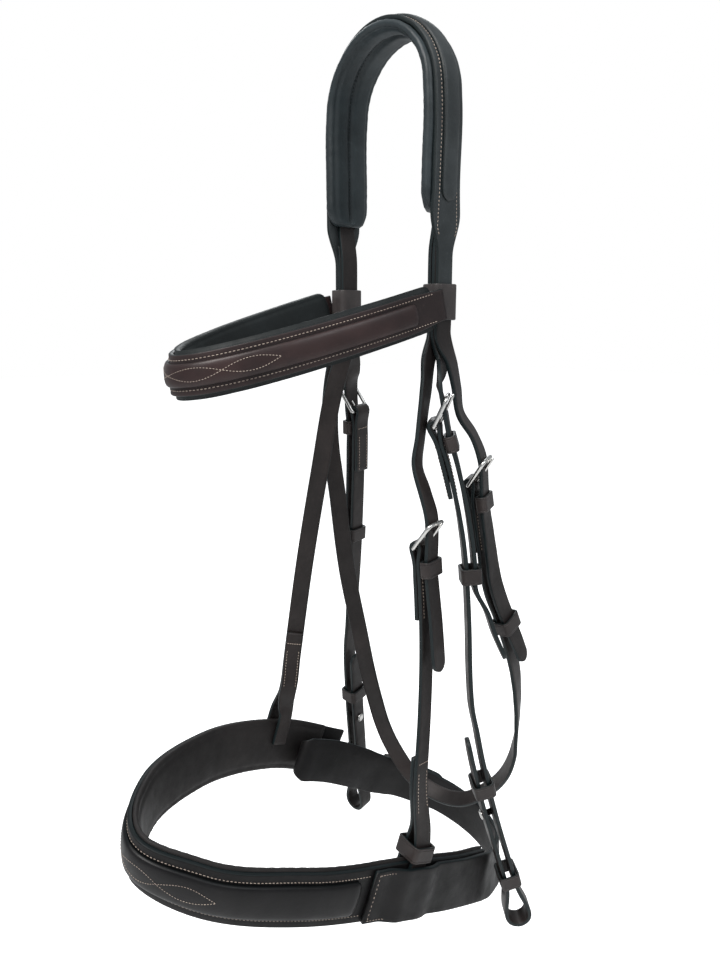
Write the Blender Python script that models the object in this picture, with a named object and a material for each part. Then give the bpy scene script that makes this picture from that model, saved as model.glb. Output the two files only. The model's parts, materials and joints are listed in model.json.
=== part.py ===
"""A riding bridle: headpiece, browband, cheekpieces, throatlash and padded noseband.

Run with: blender --background --python part.py
Units are metres, +Z is up, -Y is the way the horse faces and +X is its near (left) side.
The origin is the poll: the middle of the headpiece's underside, where it lies on the horse.

Every strap is a ribbon: a section carried along a smooth route. Straps that lie on one another
share one route and differ by their distance from it, so that layers stay layers when a thickness
changes. Buckles, keepers and bit loops are placed by the route and sizes of the strap they hold.
"""

import math

import bmesh
import bpy
from mathutils import Matrix, Vector

# The head that the bridle fits
LEG_SPREAD = 0.046
HEAD_REACH = 0.194
BRIDLE_DROP = 0.588

# Plain straps
STRAP_WIDTH = 0.0127
STRAP_THICKNESS = 0.0028
LAYER_GAP = 0.0003
SKIVED_THICKNESS = 0.0009
STATION_STEP = 0.017
FLATNESS = 0.000002
EDGE_SHARE = 0.26
END_SHARE = 0.25
ROUND_END_SHARES = (0.30, 0.62, 0.86)
CLOSE_SHARE = 0.35

# Sections of raised strips and padding, as shares of half their width and of their thickness
DOME_SHARES = (
    (-1.0, 0.0), (1.0, 0.0), (1.0, 0.35), (0.72, 0.84), (0.0, 1.0), (-0.72, 0.84), (-1.0, 0.35))
PAD_SHARES = (
    (-0.92, 0.0), (-1.0, -0.35), (-0.88, -0.80), (-0.50, -1.0), (0.0, -0.93), (0.50, -1.0),
    (0.88, -0.80), (1.0, -0.35), (0.92, 0.0))

# Headpiece, by the drop below the poll
STACK_DROP = 0.174
LIP_DROP = 0.103
CROWN_WIDTH = 0.027
CROWN_END_DROP = 0.157
CROWN_TAPER_DROP = 0.128
CROWN_STEP = 0.0085
CROWN_TWIST_DEG = 11.0
CROWN_LEG_SHARES = (1.0, 0.66, 0.33)
CROWN_TWIST_SHARE = 0.5
PAD_THICKNESS = 0.0090
PAD_WIDTH = 0.033
PAD_END_TAPER = 0.010
PAD_END_SHARE = 0.55
PAD_APEX_SHARE = 0.65
RAISED_TOP_WIDTH = 0.0145
RAISED_TOP_THICKNESS = 0.0027
RAISED_END_DROP = 0.098
GROOVE_CLEARANCE = 0.0004
RAISED_GAP = 0.00045
BILLET_START_SHARE = 0.42

# Browband
BROWBAND_DROP = 0.1545
BROWBAND_DIP = 0.0400
BROWBAND_REACH = 0.150
BROWBAND_WIDTH = 0.0215
BROWBAND_END_WIDTH = 0.0180
BROWBAND_PAD_WIDTH = 0.0260
BROWBAND_PAD_THICKNESS = 0.0055
BROWBAND_RAISED_WIDTH = 0.0125
BROWBAND_RAISED_THICKNESS = 0.0030
BROWBAND_LEATHER_START = 0.006
BROWBAND_RAISED_START = 0.028
BROWBAND_PAD_START = 0.0125
BROWBAND_ROWS = 13
BROWBAND_STEP = 0.0125
LOOP_HEIGHT = 0.0210
LOOP_WALL = 0.0022
LOOP_CLEARANCE = 0.0006
LOOP_CORNER = 0.0018

# Buckles
WIRE_RADIUS = 0.00135
TONGUE_RADIUS = 0.00095
TONGUE_TIP_SHARE = 0.55
TONGUE_SHARES = (0.33, 0.66)
BUCKLE_SIDE_CLEARANCE = 0.0006
BUCKLE_LENGTH = 0.0195
BUCKLE_CORNER = 0.0042
BUCKLE_PLAY = 0.0008
BILLET_STAND = 0.0021
TONGUE_OVERHANG = 0.0012
TONGUE_SLACK = 0.0008
HOLE_SIDE_CLEARANCE = 0.0005
FOLD_BLEND = 0.0085
FOLD_SLOT_CLEARANCE = 0.0006
FOLD_ANGLES_DEG = (36, 72, 108, 144)
TURNBACK_LENGTH = 0.046
CHEEK_SLANT_DEG = 40.0
BEFORE_FRONT_SHARE = 1.5

# Keepers
KEEPER_HEIGHT = 0.0102
KEEPER_WALL = 0.0017
KEEPER_CLEARANCE = 0.0007
KEEPER_CORNER = 0.0012
KEEPER_SEAT = 0.0078
CORNER_CUT_SHARE = 0.29
BILLET_RIDE = KEEPER_WALL + KEEPER_CLEARANCE
CHEEK_RUNNER_PLACE = 0.098
BIT_RUNNER_PLACE = 0.112
THROAT_RUNNER_PLACE = 0.102

# Bit loops
BIT_LOOP_RADIUS = 0.0080
BIT_LOOP_BLEND = 0.026
BIT_LOOP_ANGLES_DEG = (30, 60, 78, 102, 120, 150)
BIT_PAIR_OUT = 0.0034
BIT_RETURN_LENGTH = 0.150
STUD_PLACE = 0.088
STUD_RADIUS = 0.0021
STUD_HEAD_RADIUS = 0.0034
STUD_HEAD_HEIGHT = 0.0016
STUD_CROWN_SHARE = 0.6
STUD_CLEARANCE = 0.0004

# Nose piece and the straps that hang it
NOSE_WIDTH = 0.036
NOSE_THICKNESS = 0.0030
NOSE_STEP = 0.0125
NOSE_PAD_WIDTH = 0.038
NOSE_PAD_THICKNESS = 0.0050
NOSE_RAISED_WIDTH = 0.0225
NOSE_RAISED_THICKNESS = 0.0036
HANGER_LAP = 0.017
HANGER_SPREAD_DROP = 0.030
HANGER_SEWN_LENGTH = 0.045
SEWN_OVERLAP = 0.0006
FLAP_RAMP = 0.012
FLAP_MARGIN = 0.003

# Chin strap, its buckle and its dee
CHIN_WIDTH = 0.034
CHIN_THICKNESS = 0.0030
CHIN_TAPER_LENGTH = 0.060
CHIN_TURN_WIDTH = 0.033
CHIN_TURN_RADIUS = 0.0042
CHIN_TURN_ANGLES_DEG = (36, 72, 108, 144, 180)
CHIN_TAIL_WIDTH = 0.019
CHIN_TAIL_LENGTH = 0.062
CHIN_FREE_LENGTH = 0.066
CHIN_FREE_SHARES = (0.28, 0.52)
CHIN_BACK_LENGTH = 0.095
CHIN_SLANT_DEG = 25.0
CHIN_RIDE = 0.0028
CHIN_KEEPER_HEIGHT = 0.0070
CHAPE_THICKNESS = 0.0022
CHAPE_LENGTH = 0.034
DEE_WIRE_RADIUS = 0.0016
DEE_LENGTH = 0.021
DEE_STAND = 0.0080
DEE_TURN_DEG = 38.0
DEE_LOWERED = 0.004
DEE_SIDE_CLEARANCE = 0.0020

# The billets' free ends, each a share of TAIL_SPAN down from the bar and out from the strap
TAIL_SPAN = 0.150
CHEEK_TAIL_SHARES = {
    "near": ((0.75, 0.02), (0.88, 0.06), (1.03, 0.12)),
    "far": ((0.83, 0.01), (0.93, 0.02)),
}
THROAT_TAIL_SHARES = ((0.78, 0.01), (0.88, 0.02))
NOSE_TAIL_SHARES = ((0.34, 0.013), (0.52, 0.027))

# Places on the routes, as shares of LEG_SPREAD, HEAD_REACH and BRIDLE_DROP,
# each with the way that the strap's outer face looks: turn about Z, then tip up, in degrees
NEAR_CHEEK_SHARES = (
    (1.13, -0.052, 0.386, 40, 0), (1.21, -0.023, 0.423, 44, 0), (1.34, 0.030, 0.515, 50, 0),
    (1.43, 0.037, 0.590, 52, 0), (1.53, 0.034, 0.678, 52, 0), (1.60, 0.042, 0.728, 54, 0),
    (1.65, 0.076, 0.780, 58, 0), (1.71, 0.142, 0.855, 60, 0), (1.80, 0.200, 0.918, 58, 0),
    (1.90, 0.246, 0.980, 52, 0))
FAR_CHEEK_SHARES = (
    (-1.154, 0.100, 0.389, 188, 0), (-1.213, 0.112, 0.441, 190, 0), (-1.360, 0.127, 0.571, 190, 0),
    (-1.526, 0.132, 0.711, 190, 0), (-1.634, 0.161, 0.793, 190, 0), (-1.790, 0.216, 0.925, 190, 0),
    (-1.859, 0.232, 0.984, 190, 0))
NEAR_THROAT_SHARES = (
    (1.045, 0.010, 0.303, 13, 0), (1.13, 0.040, 0.345, 24, 0), (1.18, 0.062, 0.383, 28, 0))
NEAR_CHEEK_BILLET_SHARES = ((0.965, -0.002, 0.303, 13, 0), (1.05, 0.000, 0.332, 26, 0))
FAR_CHEEK_BILLET_SHARES = ((-0.975, 0.016, 0.303, 180, 0), (-1.045, 0.040, 0.334, 184, 0))
NEAR_NOSE_BILLET_SHARES = (
    (0.90, -0.014, 0.303, 10, 0), (1.01, -0.062, 0.345, 20, 0), (1.07, -0.095, 0.390, 26, 0),
    (1.11, -0.118, 0.430, 24, 0))
NEAR_NOSE_SHARES = (
    (1.18, -0.117, 0.510, 14, 0), (1.24, -0.113, 0.568, 12, 0), (1.30, -0.119, 0.634, 12, 0),
    (1.38, -0.142, 0.699, 12, 0), (1.46, -0.172, 0.764, 10, 0))
FAR_NOSE_SHARES = (
    (-0.880, -0.010, 0.303, 178, 0), (-1.005, -0.040, 0.350, 150, 0), (-1.135, -0.100, 0.462, 142, 0),
    (-1.242, -0.155, 0.575, 142, 0), (-1.340, -0.200, 0.690, 146, 0), (-1.389, -0.222, 0.745, 155, 0))
THROATLASH_SHARES = (
    (-1.13, -0.012, 0.325, 178, 0), (-1.19, -0.034, 0.400, 168, 0), (-1.24, 0.010, 0.500, 160, 0),
    (-1.28, 0.060, 0.600, 152, 0), (-1.27, 0.120, 0.690, 142, 0), (-1.20, 0.175, 0.780, 128, -10),
    (-1.00, 0.235, 0.860, 115, -35), (-0.54, 0.300, 0.912, 100, -55), (0.10, 0.350, 0.920, 90, -60),
    (0.78, 0.365, 0.880, 78, -45), (1.30, 0.340, 0.820, 55, -15), (1.49, 0.312, 0.745, 30, 0),
    (1.47, 0.298, 0.690, 16, 0), (1.41, 0.240, 0.625, 8, 0), (1.34, 0.172, 0.572, 6, 0),
    (1.28, 0.136, 0.515, 16, 0), (1.22, 0.106, 0.452, 24, 0))
NOSE_SHARES = (
    (1.46, 0.130, 0.932, 10, 0), (1.54, -0.040, 0.906, 0, 0), (1.51, -0.220, 0.881, -6, 0),
    (1.25, -0.610, 0.837, -32, 0), (0.72, -0.870, 0.806, -58, 0), (0.00, -0.985, 0.784, -90, 0),
    (-0.72, -0.870, 0.776, -122, 0), (-1.25, -0.610, 0.782, -148, 0),
    (-1.54, -0.260, 0.818, -172, 0), (-1.63, 0.060, 0.876, -182, 0))
CHIN_BACK_SHARES = (
    (1.38, 0.245, 0.952, 28, 0), (1.02, 0.385, 0.966, 58, 0), (0.40, 0.450, 0.964, 80, 0),
    (-0.42, 0.430, 0.952, 100, 0), (-0.94, 0.335, 0.936, 125, 0), (-1.16, 0.200, 0.913, 155, 0),
    (-1.20, 0.060, 0.882, 176, 0), (-1.20, -0.060, 0.858, 184, 0), (-1.20, -0.165, 0.842, 186, 0))

# Places along the parts, as shares of the length of the piece that carries them
HANGER_PLACE_NEAR_SHARE = 0.156
HANGER_PLACE_FAR_SHARE = 0.850
FLAP_START_SHARE = 0.222
NOSE_RAISED_SHARES = (0.235, 0.800)


def blend(value):
    """A smooth step from 0 to 1."""
    value = min(max(value, 0.0), 1.0)
    return value * value * (3.0 - 2.0 * value)


def facing(turn_deg, tip_deg):
    """The direction that a strap's outer face looks in."""
    turn = math.radians(turn_deg)
    tip = math.radians(tip_deg)
    return Vector((math.cos(turn) * math.cos(tip), math.sin(turn) * math.cos(tip), math.sin(tip)))


def rows_from(shares):
    """Route rows, a place and a facing each, from a table of shares."""
    rows = []
    for across, reach, drop, turn_deg, tip_deg in shares:
        place = Vector((across * LEG_SPREAD, reach * HEAD_REACH, -drop * BRIDLE_DROP))
        rows.append((place, facing(turn_deg, tip_deg)))
    return rows


class Route:
    """A smooth line through rows of places and facings, read by its length from the start."""

    SPANS = 10

    def __init__(self, rows):
        self.points = []
        self.faces = []
        count = len(rows)
        for index in range(count - 1):
            before = rows[max(index - 1, 0)]
            first, second = rows[index], rows[index + 1]
            after = rows[min(index + 2, count - 1)]
            span = (second[0] - first[0]).length
            into = self._slope(before[0], first[0], second[0], span)
            out = self._slope(first[0], second[0], after[0], span)
            for step in range(self.SPANS):
                share = step / self.SPANS
                self.points.append(self._hermite(first[0], into, second[0], out, share))
                self.faces.append(first[1].lerp(second[1], blend(share)).normalized())
        self.points.append(rows[-1][0].copy())
        self.faces.append(rows[-1][1].copy())
        self.marks = [0.0]
        for first, second in zip(self.points, self.points[1:]):
            self.marks.append(self.marks[-1] + (second - first).length)
        self.length = self.marks[-1]

    @staticmethod
    def _slope(before, here, after, span):
        left = (here - before).length
        right = (after - here).length
        if left == 0.0 or right == 0.0:
            return (after - before).normalized() * span
        return ((here - before) / left * right + (after - here) / right * left) / (left + right) * span

    @staticmethod
    def _hermite(start, into, end, out, share):
        square = share * share
        cube = square * share
        return (start * (2 * cube - 3 * square + 1) + into * (cube - 2 * square + share)
                + end * (3 * square - 2 * cube) + out * (cube - square))

    def frame(self, mark):
        """Place, along, outward and across directions at a length; straight past both ends."""
        inside = min(max(mark, 0.0), self.length)
        index = 0
        while index < len(self.marks) - 2 and self.marks[index + 1] < inside:
            index += 1
        span = self.marks[index + 1] - self.marks[index]
        share = (inside - self.marks[index]) / span
        place = self.points[index].lerp(self.points[index + 1], share)
        face = self.faces[index].lerp(self.faces[index + 1], share)
        first = self._tangent(index)
        second = self._tangent(index + 1)
        along = first.lerp(second, share).normalized()
        place = place + along * (mark - inside)
        outward = (face - along * face.dot(along)).normalized()
        return place, along, outward, along.cross(outward)

    def _tangent(self, index):
        low = max(index - 1, 0)
        high = min(index + 1, len(self.points) - 1)
        return (self.points[high] - self.points[low]).normalized()

    def at(self, mark, outward_by=0.0, across_by=0.0):
        """A point beside the route."""
        place, along, outward, across = self.frame(mark)
        return place + outward * outward_by + across * across_by


def palette(name, colour, roughness, metallic=0.0):
    """A Principled material for one piece."""
    material = bpy.data.materials.new(name)
    material.use_nodes = True
    shader = material.node_tree.nodes["Principled BSDF"]
    shader.inputs["Base Color"].default_value = (*colour, 1.0)
    shader.inputs["Roughness"].default_value = roughness
    shader.inputs["Metallic"].default_value = metallic
    return material


FINISHES = {
    "brown_leather": ((0.045, 0.030, 0.027), 0.42, 0.0),
    "red_brown_leather": ((0.050, 0.022, 0.021), 0.30, 0.0),
    "black_lining": ((0.015, 0.022, 0.026), 0.62, 0.0),
    "steel": ((0.62, 0.62, 0.60), 0.22, 1.0),
}


def make_object(name, bm, finish, origin=None):
    """One named object from a bmesh, with its own material and its origin on its joint's axis."""
    bmesh.ops.recalc_face_normals(bm, faces=bm.faces)
    if origin is not None:
        bmesh.ops.translate(bm, verts=bm.verts, vec=-origin)
    mesh = bpy.data.meshes.new(name)
    bm.to_mesh(mesh)
    bm.free()
    thing = bpy.data.objects.new(name, mesh)
    bpy.context.scene.collection.objects.link(thing)
    if origin is not None:
        thing.location = origin
    mesh.materials.append(palette(name + "_" + finish, *FINISHES[finish]))
    return thing


def add_quad(bm, corners, axis):
    """A flat quad, or two triangles split the same way on every layer, so that layers bend alike."""
    first, second, third, fourth = corners
    across = third.co - first.co
    other = fourth.co - second.co
    normal = across.cross(other)
    if abs(normal.dot(second.co - first.co)) <= normal.length * FLATNESS:
        bm.faces.new(corners)
    elif across.dot(axis) > other.dot(axis):
        bm.faces.new((first, second, third))
        bm.faces.new((first, third, fourth))
    else:
        bm.faces.new((first, second, fourth))
        bm.faces.new((second, third, fourth))


def skin(rings, closed=False):
    """A bmesh over rings of points: a capped bar, or a closed ring."""
    bm = bmesh.new()
    loops = [[bm.verts.new(point) for point in ring] for ring in rings]
    pairs = list(zip(loops, loops[1:]))
    if closed:
        pairs.append((loops[-1], loops[0]))
    count = len(loops[0])
    for first, second in pairs:
        start = first[0].co
        axis = max((vert.co - start for vert in first), key=lambda reach: reach.length)
        for index in range(count):
            after = (index + 1) % count
            add_quad(bm, (first[index], first[after], second[after], second[index]), axis)
    if not closed:
        bm.faces.new(loops[0])
        bm.faces.new(list(reversed(loops[-1])))
    return bm


def strap_section(width, thickness):
    """A strap's section as (across, outward) pairs: flat faces and eased edges."""
    half = width / 2
    up = thickness / 2
    ease = thickness * EDGE_SHARE
    return ((-half, -up + ease), (-half + ease, -up), (half - ease, -up), (half, -up + ease),
            (half, up - ease), (half - ease, up), (-half + ease, up), (-half, up - ease))


def dome_section(width, thickness):
    """A raised strip's section: flat below and domed above, measured from its underside."""
    return tuple((side * width / 2, up * thickness) for side, up in DOME_SHARES)


def sheath(route, marks, section_at, outward_by):
    """A bmesh of sections carried along a route, square to it at every length."""
    return skin([place_ring(section_at(mark), route.frame(mark), outward_by) for mark in marks])


def pad_section(width, thickness):
    """A padded lining's section: flat where it meets the leather, full and round on the inside."""
    return tuple((side * width / 2, up * thickness) for side, up in PAD_SHARES)


def grooved_pad_section(width, thickness):
    """The headpiece's padding: as pad_section, with a channel that the noseband strap runs in."""
    groove = STRAP_WIDTH / 2 + GROOVE_CLEARANCE
    depth = STRAP_THICKNESS + 2 * LAYER_GAP
    plain = pad_section(width, thickness)
    return plain + ((groove, 0.0), (groove, -depth), (-groove, -depth), (-groove, 0.0))


def place_ring(section, frame, outward_by=0.0, across_by=0.0):
    """A section set across a route at one of its frames."""
    place, along, outward, across = frame
    return [place + across * (side + across_by) + outward * (up + outward_by) for side, up in section]


def marks_between(start, end, step=STATION_STEP):
    """Even lengths from start to end, both included."""
    count = max(1, math.ceil(abs(end - start) / step))
    return [start + (end - start) * index / count for index in range(count + 1)]


def shared_marks(length, step, extras):
    """Lengths from 0 to length that several layers share, with the layers' own ends among them."""
    near = step * CLOSE_SHARE
    plain = [mark for mark in marks_between(0.0, length, step)
             if all(abs(mark - extra) > near for extra in extras)]
    return sorted(set(plain + list(extras) + [0.0, length]))


def marks_inside(marks, first, last):
    """The shared lengths from first to last, both included."""
    return [mark for mark in marks if first - LAYER_GAP / 2 <= mark <= last + LAYER_GAP / 2]


class Line:
    """Points, directions and sizes gathered along a strap before it is made."""

    def __init__(self):
        self.points = []
        self.acrosses = []
        self.faces = []
        self.sizes = []

    def add(self, point, across, width=STRAP_WIDTH, thickness=STRAP_THICKNESS, face=None):
        """One more station; without a face the strap lies square to the way it runs."""
        self.points.append(point)
        self.acrosses.append(across)
        self.faces.append(face)
        self.sizes.append((width, thickness))

    def copy_from(self, other, index, way=1):
        """A station of another line; way is -1 where this line runs against it."""
        face = other.faces[index]
        self.add(other.points[index], other.acrosses[index], *other.sizes[index],
                 face if face is None else face * way)

    def ring(self, index):
        """The section at a station."""
        last = len(self.points) - 1
        point = self.points[index]
        across = self.acrosses[index]
        face = self.faces[index]
        along = (self.points[min(index + 1, last)] - self.points[max(index - 1, 0)]).normalized()
        if face is None:
            across = (across - along * across.dot(along)).normalized()
            face = across.cross(along)
        return place_ring(strap_section(*self.sizes[index]), (point, along, face, across))

    def follow(self, route, marks, outward_by=0.0, width=STRAP_WIDTH, thickness=STRAP_THICKNESS,
               forward=True):
        """Stations along a route; outward_by and width may be numbers or functions of the mark."""
        way = 1 if marks[-1] >= marks[0] else -1
        turned = 1 if forward else -1
        for mark in marks:
            side = outward_by(mark) if callable(outward_by) else outward_by
            wide = width(mark) if callable(width) else width
            thick = thickness(mark) if callable(thickness) else thickness
            place, along, outward, across = route.frame(mark)
            self.add(place + outward * side, across * turned, wide, thick, outward * turned * way)

    def make(self, name, finish="brown_leather"):
        """The finished strap object."""
        return make_object(name, skin([self.ring(index) for index in range(len(self.points))]),
                           finish)


def smooth_line(line, kept, step=STATION_STEP):
    """The line with its first stations kept and the rest on one smooth curve, spaced evenly."""
    rows = [(point, across) for point, across in zip(line.points, line.acrosses)]
    route = Route(rows)
    marks = [route.marks[index * Route.SPANS] for index in range(len(rows))]
    result = Line()
    for index in range(kept):
        result.copy_from(line, index)
    for mark in marks_between(marks[kept - 1], route.length, step)[1:]:
        index = 0
        while index < len(marks) - 2 and marks[index + 1] < mark:
            index += 1
        share = (mark - marks[index]) / (marks[index + 1] - marks[index])
        first, second = line.sizes[index], line.sizes[index + 1]
        width = first[0] + (second[0] - first[0]) * share
        thickness = first[1] + (second[1] - first[1]) * share
        place, along, outward, across = route.frame(mark)
        result.add(place, outward, width, thickness)
    return result


def carve(target, cutter, operation="DIFFERENCE"):
    """Cut or join with an exact Boolean, kept as plain mesh; the cutter goes."""
    modifier = target.modifiers.new(operation.lower(), "BOOLEAN")
    modifier.operation = operation
    modifier.solver = "EXACT"
    modifier.object = cutter
    bpy.context.view_layer.update()
    graph = bpy.context.evaluated_depsgraph_get()
    mesh = bpy.data.meshes.new_from_object(target.evaluated_get(graph), depsgraph=graph)
    target.modifiers.remove(modifier)
    old = target.data
    target.data = mesh
    mesh.name = target.name
    bpy.data.meshes.remove(old)
    bpy.data.objects.remove(cutter)


def prism(name, centre, along, side, up, outline, half_length):
    """A straight bar: an outline in the side and up directions, carried along its axis."""
    rings = []
    for end in (-half_length, half_length):
        rings.append([centre + along * end + side * a + up * b for a, b in outline])
    return make_object(name, skin(rings), "steel")


def oval(half_side, half_up, count=8):
    """An oval outline."""
    points = []
    for index in range(count):
        angle = math.tau * (index + 0.5) / count
        points.append((half_side * math.cos(angle), half_up * math.sin(angle)))
    return points


def wire(name, path, normal, radius, origin, sides=8):
    """An open wire along a path that lies in a plane, with a tapered tip."""
    rings = []
    last = len(path) - 1
    for index, point in enumerate(path):
        along = (path[min(index + 1, last)] - path[max(index - 1, 0)]).normalized()
        side = along.cross(normal)
        reach = radius if index < last else radius * TONGUE_TIP_SHARE
        rings.append([point + side * a + normal * b for a, b in oval(reach, reach, sides)])
    return make_object(name, skin(rings), "steel", origin)


class Buckle:
    """A wire buckle on a folded strap end, and the way that the billet passes through it.

    Places are given as u, the distance down the strap from the bar, and n, the distance out.
    """

    def __init__(self, name, route, bar_mark, width, billet_thickness, strap_thickness, slant_deg):
        self.name = name
        self.route = route
        self.bar_mark = bar_mark
        self.width = width
        self.billet_thickness = billet_thickness
        self.strap_thickness = strap_thickness
        self.slant = math.radians(slant_deg)
        self.ride = BILLET_RIDE
        self.layer = (strap_thickness + LAYER_GAP) / 2
        self.fold_radius = WIRE_RADIUS + LAYER_GAP + strap_thickness / 2

    def point(self, down, out, across=0.0):
        """A place in the buckle's own straight frame at the bar."""
        place, along, outward, side = self.route.frame(self.bar_mark)
        return place + along * down + outward * out + side * across

    def layer_out(self, down):
        """How far a layer of the fold lies from the route."""
        return self.fold_radius + (self.layer - self.fold_radius) * blend(down / FOLD_BLEND)

    def billet_out(self, down):
        """How far the billet's middle lies from the route, above and below the bar."""
        bar = self.fold_radius + self.strap_thickness / 2 + LAYER_GAP + self.billet_thickness / 2
        bar += BILLET_STAND
        flat = self.layer + self.strap_thickness / 2 + LAYER_GAP + self.billet_thickness / 2
        flat += self.ride
        if down >= 0.0:
            return bar + (flat - bar) * blend(down / FOLD_BLEND)
        return bar + (self.front_out() - bar) * blend(-down / (BUCKLE_LENGTH * math.cos(self.slant)))

    def front_out(self):
        """How far the billet's middle lies from the route where it passes the front bar."""
        front = BUCKLE_LENGTH * math.sin(self.slant)
        return front - WIRE_RADIUS - BUCKLE_PLAY - self.billet_thickness / 2

    def billet_span(self):
        """The billet's inner and outer faces below the fold."""
        flat = self.billet_out(FOLD_BLEND)
        return flat - self.billet_thickness / 2, flat + self.billet_thickness / 2

    def on_tongue(self, reach):
        """A point on the tongue's middle, as u and n, at a reach from the bar."""
        lift = WIRE_RADIUS + LAYER_GAP + TONGUE_RADIUS
        down = -reach * math.cos(self.slant) + lift * math.sin(self.slant)
        out = reach * math.sin(self.slant) + lift * math.cos(self.slant)
        return down, out

    def crossing(self):
        """The reach at which the tongue's middle goes through the billet's middle."""
        low, high = 0.0, BUCKLE_LENGTH
        for step in range(30):
            middle = (low + high) / 2
            down, out = self.on_tongue(middle)
            if out < self.billet_out(down):
                low = middle
            else:
                high = middle
        return (low + high) / 2

    def add_fold(self, line, turnback):
        """The strap's folded end: up the inner side, over the bar and on to the outer side."""
        route, mark = self.route, self.bar_mark
        if turnback > FOLD_BLEND:
            for down in reversed(marks_between(FOLD_BLEND, turnback)):
                line.add(route.at(mark + down, -self.layer), -route.frame(mark + down)[3],
                         self.width, self.strap_thickness)
        side = -route.frame(mark)[3]
        for down in (FOLD_BLEND * 0.5, 0.0):
            line.add(self.point(down, -self.layer_out(down)), side, self.width, self.strap_thickness)
        for angle_deg in FOLD_ANGLES_DEG:
            angle = math.radians(angle_deg)
            down = -self.fold_radius * math.sin(angle)
            out = -self.fold_radius * math.cos(angle)
            line.add(self.point(down, out), side, self.width, self.strap_thickness)
        for down in (0.0, FOLD_BLEND * 0.5):
            line.add(self.point(down, self.layer_out(down)), side, self.width, self.strap_thickness)

    def cut_slot(self, strap):
        """The slot in the fold that the tongue turns in."""
        place, along, outward, side = self.route.frame(self.bar_mark)
        half = TONGUE_RADIUS + FOLD_SLOT_CLEARANCE
        reach = self.fold_radius + self.strap_thickness
        low, high = -reach, WIRE_RADIUS + LAYER_GAP + 2 * TONGUE_RADIUS + FOLD_SLOT_CLEARANCE
        outline = ((-half, low), (half, low), (half, high), (-half, high))
        cutter = prism(self.name + "_slot_cutter", place, outward, side, along, outline, reach)
        carve(strap, cutter)

    def cut_hole(self, billet):
        """The slanted hole in the billet that the tongue goes through."""
        place, along, outward, side = self.route.frame(self.bar_mark)
        down, out = self.on_tongue(self.crossing())
        centre = place + along * down + outward * out
        axis = -along * math.cos(self.slant) + outward * math.sin(self.slant)
        up = axis.cross(side)
        outline = oval(TONGUE_RADIUS + HOLE_SIDE_CLEARANCE, TONGUE_RADIUS + TONGUE_SLACK + LAYER_GAP)
        cutter = prism(self.name + "_hole_cutter", centre, axis, side, up, outline,
                       3 * self.billet_thickness)
        carve(billet, cutter)

    def make_frame(self):
        """The wire frame: the bar in the fold, two sides and the front bar."""
        half = self.width / 2 + BUCKLE_SIDE_CLEARANCE + WIRE_RADIUS
        front_down = -BUCKLE_LENGTH * math.cos(self.slant)
        front_out = BUCKLE_LENGTH * math.sin(self.slant)
        corners = [self.point(0.0, 0.0, -half), self.point(0.0, 0.0, half),
                   self.point(front_down, front_out, half), self.point(front_down, front_out, -half)]
        path_bend = min(BUCKLE_CORNER, half / 2)
        return bent_frame(self.name + "_frame", corners, WIRE_RADIUS, path_bend)

    def make_tongue(self):
        """The tongue: a wire curled round the bar, lying on the front bar."""
        lift = WIRE_RADIUS + LAYER_GAP + TONGUE_RADIUS
        end = BUCKLE_LENGTH + WIRE_RADIUS + TONGUE_OVERHANG
        turned = self._curl(lift)
        for share in TONGUE_SHARES:
            turned.append(self.on_tongue(end * share))
        for reach in (end - TONGUE_OVERHANG * 0.4, end):
            turned.append(self.on_tongue(reach))
        side = self.route.frame(self.bar_mark)[3]
        return wire(self.name + "_tongue", [self.point(*place) for place in turned], side,
                    TONGUE_RADIUS, self.point(0.0, 0.0))

    def _curl(self, lift):
        """The curl round the bar, as u and n, ending where the straight part starts."""
        result = []
        for step in range(9):
            angle = math.radians(270) * (1 - step / 8)
            down = lift * math.sin(self.slant + angle)
            out = lift * math.cos(self.slant + angle)
            result.append((down, out))
        return result


def bent_frame(name, corners, radius, bend):
    """A wire frame with sharp corners at the bar and round ones at the front."""
    path = []
    for index in (0, 1):
        path.append(corners[index])
    for index in (2, 3):
        here = corners[index]
        before = corners[index - 1]
        after = corners[(index + 1) % 4]
        start = here + (before - here).normalized() * bend
        end = here + (after - here).normalized() * bend
        for step in range(5):
            share = step / 4
            path.append(start.lerp(here, share).lerp(here.lerp(end, share), share))
    normal = (corners[1] - corners[0]).cross(corners[2] - corners[1]).normalized()
    rings = []
    count = len(path)
    for index, point in enumerate(path):
        arriving = (point - path[index - 1]).normalized()
        leaving = (path[(index + 1) % count] - point).normalized()
        along = (arriving + leaving).normalized()
        side = along.cross(normal)
        stretch = 1.0 / max(along.dot(leaving), 0.5)
        rings.append([point + side * a * stretch + normal * b for a, b in oval(radius, radius)])
    origin = (corners[0] + corners[1]) / 2
    return make_object(name, skin(rings, closed=True), "steel", origin)


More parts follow.
